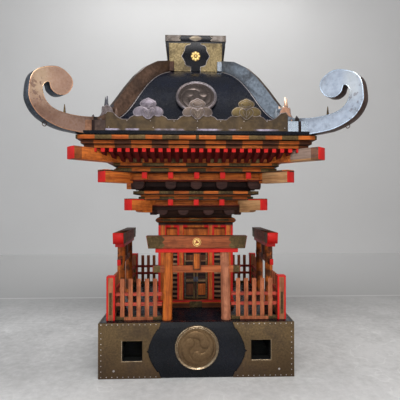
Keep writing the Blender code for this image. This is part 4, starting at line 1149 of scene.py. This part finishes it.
# Top box: scalloped plates, a gold flower, and the trimmed lid
boxSizes = {
    "front": 0.0984, "level": 1.0313, "tilt": atan2(0.0118, 0.1055), "edge": 0.0972, "height": 0.1008,
    "scallop": ((0.0185, 0.1008), (0.0185, 0.0965), (0.024, 0.0945), (0.033, 0.0925), (0.0385, 0.086),
                (0.04, 0.075), (0.045, 0.066), (0.0517, 0.054), (0.045, 0.043), (0.04, 0.035),
                (0.0385, 0.026), (0.033, 0.02), (0.024, 0.018), (0.0177, 0.016), (0.0177, 0.0)),
    "plate": 0.0012, "rim": 0.001, "border": 0.003, "borderWire": 0.0006, "nailInset": 0.006,
    "nails": (5, 0.012, 0.0205), "nailRadius": 0.0012, "nailHeight": 0.0008}
badgeSizes = {
    "level": 0.054, "disc": 0.0178, "steps": ((1, 0), (1, 0.0006), (0.94, 0.0012)), "petals": 8,
    "ring": 0.0115, "petal": 0.0062, "petalShape": (0.95, 0.72, 0.28), "raised": 0.0012,
    "heart": (0.004, 0.0026)}


def makeBadge(sizes):
    place = Matrix.Translation((0, sizes["level"], 0))
    profile = [(sizes["disc"] * out, up) for out, up in sizes["steps"]]
    parts = [smooth(placed(turned(profile, 40, agedBrass), place), 40)]
    for step in range(sizes["petals"]):
        clearPicks()
        bpy.ops.mesh.primitive_uv_sphere_add(segments=14, ring_count=8, radius=sizes["petal"],
                                             location=(sizes["ring"], 0, sizes["raised"]))
        petal = bpy.context.object
        petal.scale = sizes["petalShape"]
        settle(petal, brightGold)
        parts.append(smooth(placed(petal, place @ turnedBy(2 * pi * step / sizes["petals"])), 80))
    radius, height = sizes["heart"]
    raised = place @ Matrix.Translation((0, 0, sizes["raised"]))
    return parts + studs([(0, 0)], radius, height, brightGold, raised)


def makeBoxFront(sizes):
    edge, height, face = sizes["edge"], sizes["height"], sizes["plate"] / 2
    border, (count, first, pitch) = sizes["border"], sizes["nails"]
    parts = makeBadge(badgeSizes)
    for side in (-1, 1):
        inner = [(side * x, v) for x, v in sizes["scallop"]]
        outline = [(side * edge, height), *inner, (side * edge, 0)]
        line = [(side * (edge - border), v, face) for v in (border, height - border)]
        nails = [(side * (edge - sizes["nailInset"]), first + step * pitch) for step in range(count)]
        parts += [plate(outline, sizes["plate"], engravedBrass, edge=0.0003),
                  wire([(x, v, face) for x, v in inner], sizes["rim"], brightSilver),
                  wire(line, sizes["borderWire"], bandMetal),
                  *studs(nails, sizes["nailRadius"], sizes["nailHeight"], paleMetal,
                         Matrix.Translation((0, 0, face)))]
    return placed(joined("box_front", parts), facing(sizes["front"], 0, sizes["level"], sizes["tilt"]))


lidSizes = {
    "half": 0.1105, "foot": 1.1371, "top": 1.1608, "end": 0.054,
    "waves": (0.004, 0.0, 0.003, 0.009, 0.003, 0.0, 0.004), "inset": 0.0008, "sideInset": 0.0006,
    "plate": 0.001, "proud": 0.0003, "wire": 0.0007, "wireProud": 0.0008,
    "nailInset": (0.008, 0.006), "nailRadius": 0.0012, "nailHeight": 0.0008, "lens": (0.027, 0.0095),
    "edgeWire": 0.0009, "edgeDrop": 0.0011}


def makeLidFront(sizes):
    half, foot, top, inset = (sizes[name] for name in ("half", "foot", "top", "inset"))
    across, up = sizes["nailInset"]
    span = (top - foot - 2 * inset) / (len(sizes["waves"]) - 1)
    parts = []
    for side in (-1, 1):
        inner = [(side * (sizes["end"] + wave), foot + inset + span * step)
                 for step, wave in enumerate(sizes["waves"])]
        end = side * (half - sizes["sideInset"])
        outline = [(end, foot + inset), *inner, (end, top - inset)]
        nails = [(side * (half - across), level) for level in (foot + up, top - up)]
        parts += [plate(outline, sizes["plate"], lidMetal, facing(half + sizes["proud"]), 0.0002),
                  wire([(x, -half - sizes["wireProud"], z) for x, z in inner], sizes["wire"], paleMetal),
                  *studs(nails, sizes["nailRadius"], sizes["nailHeight"], paleMetal,
                         facing(half + sizes["wireProud"]))]
    wide, tall = sizes["lens"]
    upper = [(wide * (step / 8 - 1), tall * cos((step / 8 - 1) * pi / 2) ** 1.25) for step in range(17)]
    outline = [*upper, *((-x, -z) for x, z in upper[1:-1])]
    lens = leaf(outline, 0.001, paleMetal, 0.0005, 0.0012, 0.0005, "POLY")
    parts.append(placed(lens, facing(half + sizes["proud"], 0, (foot + top) / 2)))
    edge = [(x, -half + sizes["sideInset"], top - sizes["edgeDrop"]) for x in (-half, half)]
    return joined("lid_front", [*parts, wire(edge, sizes["edgeWire"], plainBronze)])


around(makeBoxFront(boxSizes), "top_box_plates")
around(makeLidFront(lidSizes), "top_lid_trim")
print("top box made")


# Bearing cups under the tiers: short blocks with a rounded underside
cupSizes = {
    "lower": {"places": (-0.117, -0.044, 0.044, 0.117), "top": 0.53, "height": 0.027, "front": 0.164},
    "middle": {"places": (-0.193, -0.086, 0, 0.086, 0.193), "top": 0.6184, "height": 0.0265, "front": 0.22},
    "width": 0.037, "depth": 0.024, "straight": 0.45}


def makeCups(sizes, width, depth, straight):
    half, height = width / 2, sizes["height"]
    outline = [(half, 0), (half, -height * straight)]
    for step in range(1, 10):
        angle = step * pi / 10
        outline.append((half * cos(angle), -height * (straight + (1 - straight) * sin(angle))))
    outline += [(-half, -height * straight), (-half, 0)]
    place = facing(sizes["front"] - depth / 2, 0, sizes["top"])
    first = smooth(plate(outline, depth, cupWood, place, 0.0012))
    row = [copied(first, Matrix.Translation((place, 0, 0))) for place in sizes["places"]]
    bpy.data.objects.remove(first)
    return joined("cups", row)


for tier in ("lower", "middle"):
    cups = makeCups(cupSizes[tier], cupSizes["width"], cupSizes["depth"], cupSizes["straight"])
    around(cups, f"bearing_cups_{tier}")
print("cups made")


# Body: slats in the side windows, a plate in the middle of the sill and a bar on each side of it
slatSizes = {
    "ends": (0.0655, 0.1065), "foot": 0.2075, "pitch": 0.0165, "count": 10, "height": 0.0066,
    "out": (0.12, 0.1245), "plate": (0.021, (0.137, 0.1396), (0.1745, 0.196)),
    "bar": ((0.024, 0.1), (0.137, 0.1386), (0.1885, 0.1925))}


def makeSlats(sizes):
    half, out, levels = sizes["plate"]
    parts = [slab(pair(0, half), out, levels, darkBrass)]
    for side in (-1, 1):
        ends = [side * x for x in sizes["ends"]]
        for step in range(sizes["count"]):
            level = sizes["foot"] + step * sizes["pitch"]
            parts.append(slab(ends, sizes["out"], (level, level + sizes["height"]), slatWood, 0.0006, 1))
        ends, out, levels = sizes["bar"]
        parts.append(slab([side * x for x in ends], out, levels, orangeBeam, 0.0006, 1))
    return joined("slats", parts)


around(makeSlats(slatSizes), "window_slats")

# Door fittings: bars by ends, levels and height over the door, the last two by door
leafSizes = {
    "face": 0.1285, "back": 0.1273, "nails": (0.0378, 0.22, 0.019, 6), "nailRadius": 0.0011,
    "nailHeight": 0.0008, "nailProud": 0.0006, "bars": (
        ((0.004, 0.0394), (0.336, 0.3395), 0.001, slatWood),
        ((0.004, 0.0394), (0.3675, 0.371), 0.001, slatWood),
        ((0.004, 0.0072), (0.3395, 0.3675), 0.001, slatWood),
        ((0.0364, 0.0394), (0.3395, 0.3675), 0.001, slatWood),
        ((0.0072, 0.0364), (0.3395, 0.359), -0.0004, brownPost),
        ((0.0006, 0.0036), (0.204, 0.33), 0.0006, cupWood),
        ((0.0006, 0.008), (0.264, 0.281), 0.0014, coolSteel),
        ((0.009, 0.035), (0.2655, 0.269), 0.001, slatWood),
        ((0.009, 0.035), (0.273, 0.316), -0.0004, cupWood),
        ((0.002, 0.0394), (0.204, 0.21), 0.001, darkBrass)),
    "strip": ((0.0362, 0.0394), (0.212, 0.322), 0.0006),
    "panel": ((0.009, 0.035), (0.216, 0.256), -0.0002)}


def makeDoorFittings(side, sizes, stripMaterial, panelMaterial):
    face = sizes["face"]
    bars = (*sizes["bars"], (*sizes["strip"], stripMaterial), (*sizes["panel"], panelMaterial))
    parts = [slab([side * x for x in ends], (sizes["back"], face + proud), levels, material, 0.0004, 1)
             for ends, levels, proud, material in bars]
    across, first, pitch, count = sizes["nails"]
    nails = [(side * across, first + step * pitch) for step in range(count)]
    place = facing(face + sizes["nailProud"])
    parts += studs(nails, sizes["nailRadius"], sizes["nailHeight"], paleMetal, place)
    return joined("door_fittings", parts)


for side, body, strip, panel in (
        (-1, "door_left", coolSteel, brownPost), (1, "door_right", agedBrass, orangePost)):
    fittings = makeDoorFittings(side, leafSizes, strip, panel)
    fittings.name = fittings.data.name = f"{body}_fittings"
    fit(fittings, body)
print("body fittings made")


# Base: nails along the plates and bent lips round the pole holes
nailSizes = {
    "front": 0.3063, "top": 0.1675, "foot": 0.006, "edge": 0.2975, "near": 0.119, "pitch": 0.017,
    "stopShort": 0.01, "nail": (0.0017, 0.0011), "bolt": (0.0036, 0.002), "boltAt": (0.258, 0.025)}
lipSizes = {
    "hole": (0.17, 0.232, 0.055, 0.117), "back": 0.3053, "thickness": 0.0024, "topThickness": 0.002,
    "drop": 0.003, "outer": (0.003, 0.002), "inner": 0.002, "lowProud": 0.0016, "highProud": 0.001,
    "outerProud": 0.0014, "innerProud": 0.0008}    # outer lips are thicker on the left than on the right


def makeNails(sizes, lips):
    front, foot, top = sizes["front"], sizes["foot"], sizes["top"]
    near, far, low, high = lips["hole"]
    upright = (low - lips["drop"], high + lips["topThickness"])
    spots, parts = [], []
    for side in (-1, 1):
        across, level = sizes["edge"], foot + sizes["pitch"]
        while across > sizes["near"]:
            spots += [(side * across, top), (side * across, foot)]
            across -= sizes["pitch"]
        while level < top - sizes["stopShort"]:
            spots.append((side * sizes["edge"], level))
            level += sizes["pitch"]
        bars = (((near, far), (low - lips["thickness"], low), lips["lowProud"], rimBrass),
                ((near, far), (high, high + lips["topThickness"]), lips["highProud"], agedBrass),
                ((far, far + lips["outer"][side > 0]), upright, lips["outerProud"], rimBrass),
                ((near, near - lips["inner"]), upright, lips["innerProud"], agedBrass))
        for ends, levels, proud, material in bars:
            out = (lips["back"], front + proud)
            parts.append(slab([side * x for x in ends], out, levels, material, 0.0006, 1))
    parts += studs(spots, *sizes["nail"], brightSilver, facing(front))
    across, level = sizes["boltAt"]
    parts += studs([(across, level), (-across, level)], *sizes["bolt"], brightSilver, facing(front))
    return joined("nails", parts)


around(makeNails(nailSizes, lipSizes), "base_plate_nails")
print("base fittings made")


# Floor, light and camera. A joint painted on the floor stands for the photo's near wall
stageSizes = {"floor": 7.0, "wall": 2.6, "wallMiddle": 3.2, "joint": 0.725}


def wallPaint(spot):
    tint = mixed(noise(spot.place, 1.2, 4), (214, 214, 214), (226, 226, 226))
    return finished(tint, 0.8, noise(spot.place, 60) * 0.0001)


def floorPaint(spot):
    joint, wall = stageSizes["joint"], stageSizes["wall"]
    cloud = noise(spot.place, 2.2, 6, 0.65)
    speck = noise(spot.place, 40, 5, 0.7)
    crack = between((noise(spot.place, 4.5, 3) * 6) % 1, 0.47, 0.53, 0.03) * above(cloud, 0.5, 0.1)
    wear = above(cloud * 0.6 + speck * 0.4, 0.5, 0.16)
    behind = above(spot.y, joint, 0.003)
    # Behind the joint the floor is darker near the joint and lighter further back, as on a wall lit from
    # above: painted shade
    backdrop = mixed((spot.y - joint) * (1 / (wall - joint)), (165, 165, 165), (208, 208, 208))
    tint = mixed(wear, (172, 172, 172), (206, 206, 206))
    tint = mixed(crack * 0.25, tint, (236, 236, 236))
    # The floor in front of the object is lighter: a painted pool of light
    tint = mixed((1 - above(spot.y, -0.55, 0.35)) * 0.8, tint, (246, 246, 246))
    # The floor towards the back is darker: painted shade
    tint = mixed(above(spot.y, 0.45, 0.3) * 0.6, tint, (140, 140, 140))
    tint = mixed(behind, tint, backdrop)
    tint = mixed(between(spot.y, joint - 0.012, joint + 0.004, 0.004) * 0.35, tint, (232, 232, 232))
    return finished(tint, 0.75 + speck * 0.1, speck * 0.0006 * (1 - behind))


def studioPlane(name, place, turn, material):
    clearPicks()
    bpy.ops.mesh.primitive_plane_add(size=stageSizes["floor"], location=place, rotation=(turn, 0, 0))
    plane = bpy.context.object
    plane.name = name
    plane.data.materials.append(material)


studioPlane("studio_floor", (0, 0, 0), 0, newMaterial("studioFloor", floorPaint, 0.3))
studioPlane("studio_wall", (0, stageSizes["wall"], stageSizes["wallMiddle"]), pi / 2,
            newMaterial("studioWall", wallPaint, 0.3))


def areaLight(name, location, target, size, power, tint):
    clearPicks()
    bpy.ops.object.light_add(type="AREA", location=location)
    lamp = bpy.context.object
    lamp.name = name
    lamp.data.shape = "RECTANGLE"
    lamp.data.size, lamp.data.size_y = size
    lamp.data.energy = power
    lamp.data.color = tint
    direction = Vector(target) - Vector(location)
    lamp.rotation_euler = direction.to_track_quat("-Z", "Y").to_euler()


warmWhite = (1.0, 0.99, 0.97)
areaLight("windowSide", (-2.6, -1.3, 1.75), (0, -0.3, 0.8), (2.8, 2.0), 23, (0.84, 0.92, 1.0))
areaLight("warmSide", (2.6, -1.3, 1.75), (0, -0.3, 0.8), (2.8, 2.0), 15, (1.0, 0.88, 0.78))
areaLight("topSoft", (0, -2.3, 2.9), (0, -0.6, 0.1), (2.4, 1.4), 50, warmWhite)
areaLight("frontSoft", (0, -3.2, 0.75), (0, 0, 0.6), (2.6, 1.0), 11, warmWhite)
areaLight("floorSoft", (0, -1.7, 1.9), (0, -0.95, 0), (1.6, 0.4), 12, (1.0, 0.99, 0.98))
areaLight("backSoft", (0, 2.1, 3.2), (0, 0.2, 0.6), (2.4, 0.8), 20, warmWhite)
areaLight("wallWash", (0, 1.3, 3.4), (0, 2.6, 1.4), (3.6, 0.6), 15, (1.0, 1.0, 1.0))
world = bpy.context.scene.world or bpy.data.worlds.new("studioSky")
bpy.context.scene.world = world
world.use_nodes = True
sky = world.node_tree.nodes["Background"]
sky.inputs["Color"].default_value = (0.85, 0.85, 0.86, 1)
sky.inputs["Strength"].default_value = 0.3

# The camera is fitted to the base, the fence and the eaves in the photo
cameraSizes = {"place": (-0.03, -1.4899, 0.543), "tilt": 90.578, "turn": -1.909, "lens": 34.04,
               "sensor": 36}
clearPicks()
bpy.ops.object.camera_add(location=cameraSizes["place"],
                          rotation=(radians(cameraSizes["tilt"]), 0, radians(cameraSizes["turn"])))
camera = bpy.context.object
camera.name = "photoCamera"
camera.data.lens = cameraSizes["lens"]
camera.data.sensor_width = cameraSizes["sensor"]
camera.data.clip_start = 0.05
bpy.context.scene.camera = camera
bpy.context.scene.view_settings.view_transform = "Standard"

print("scene ready")
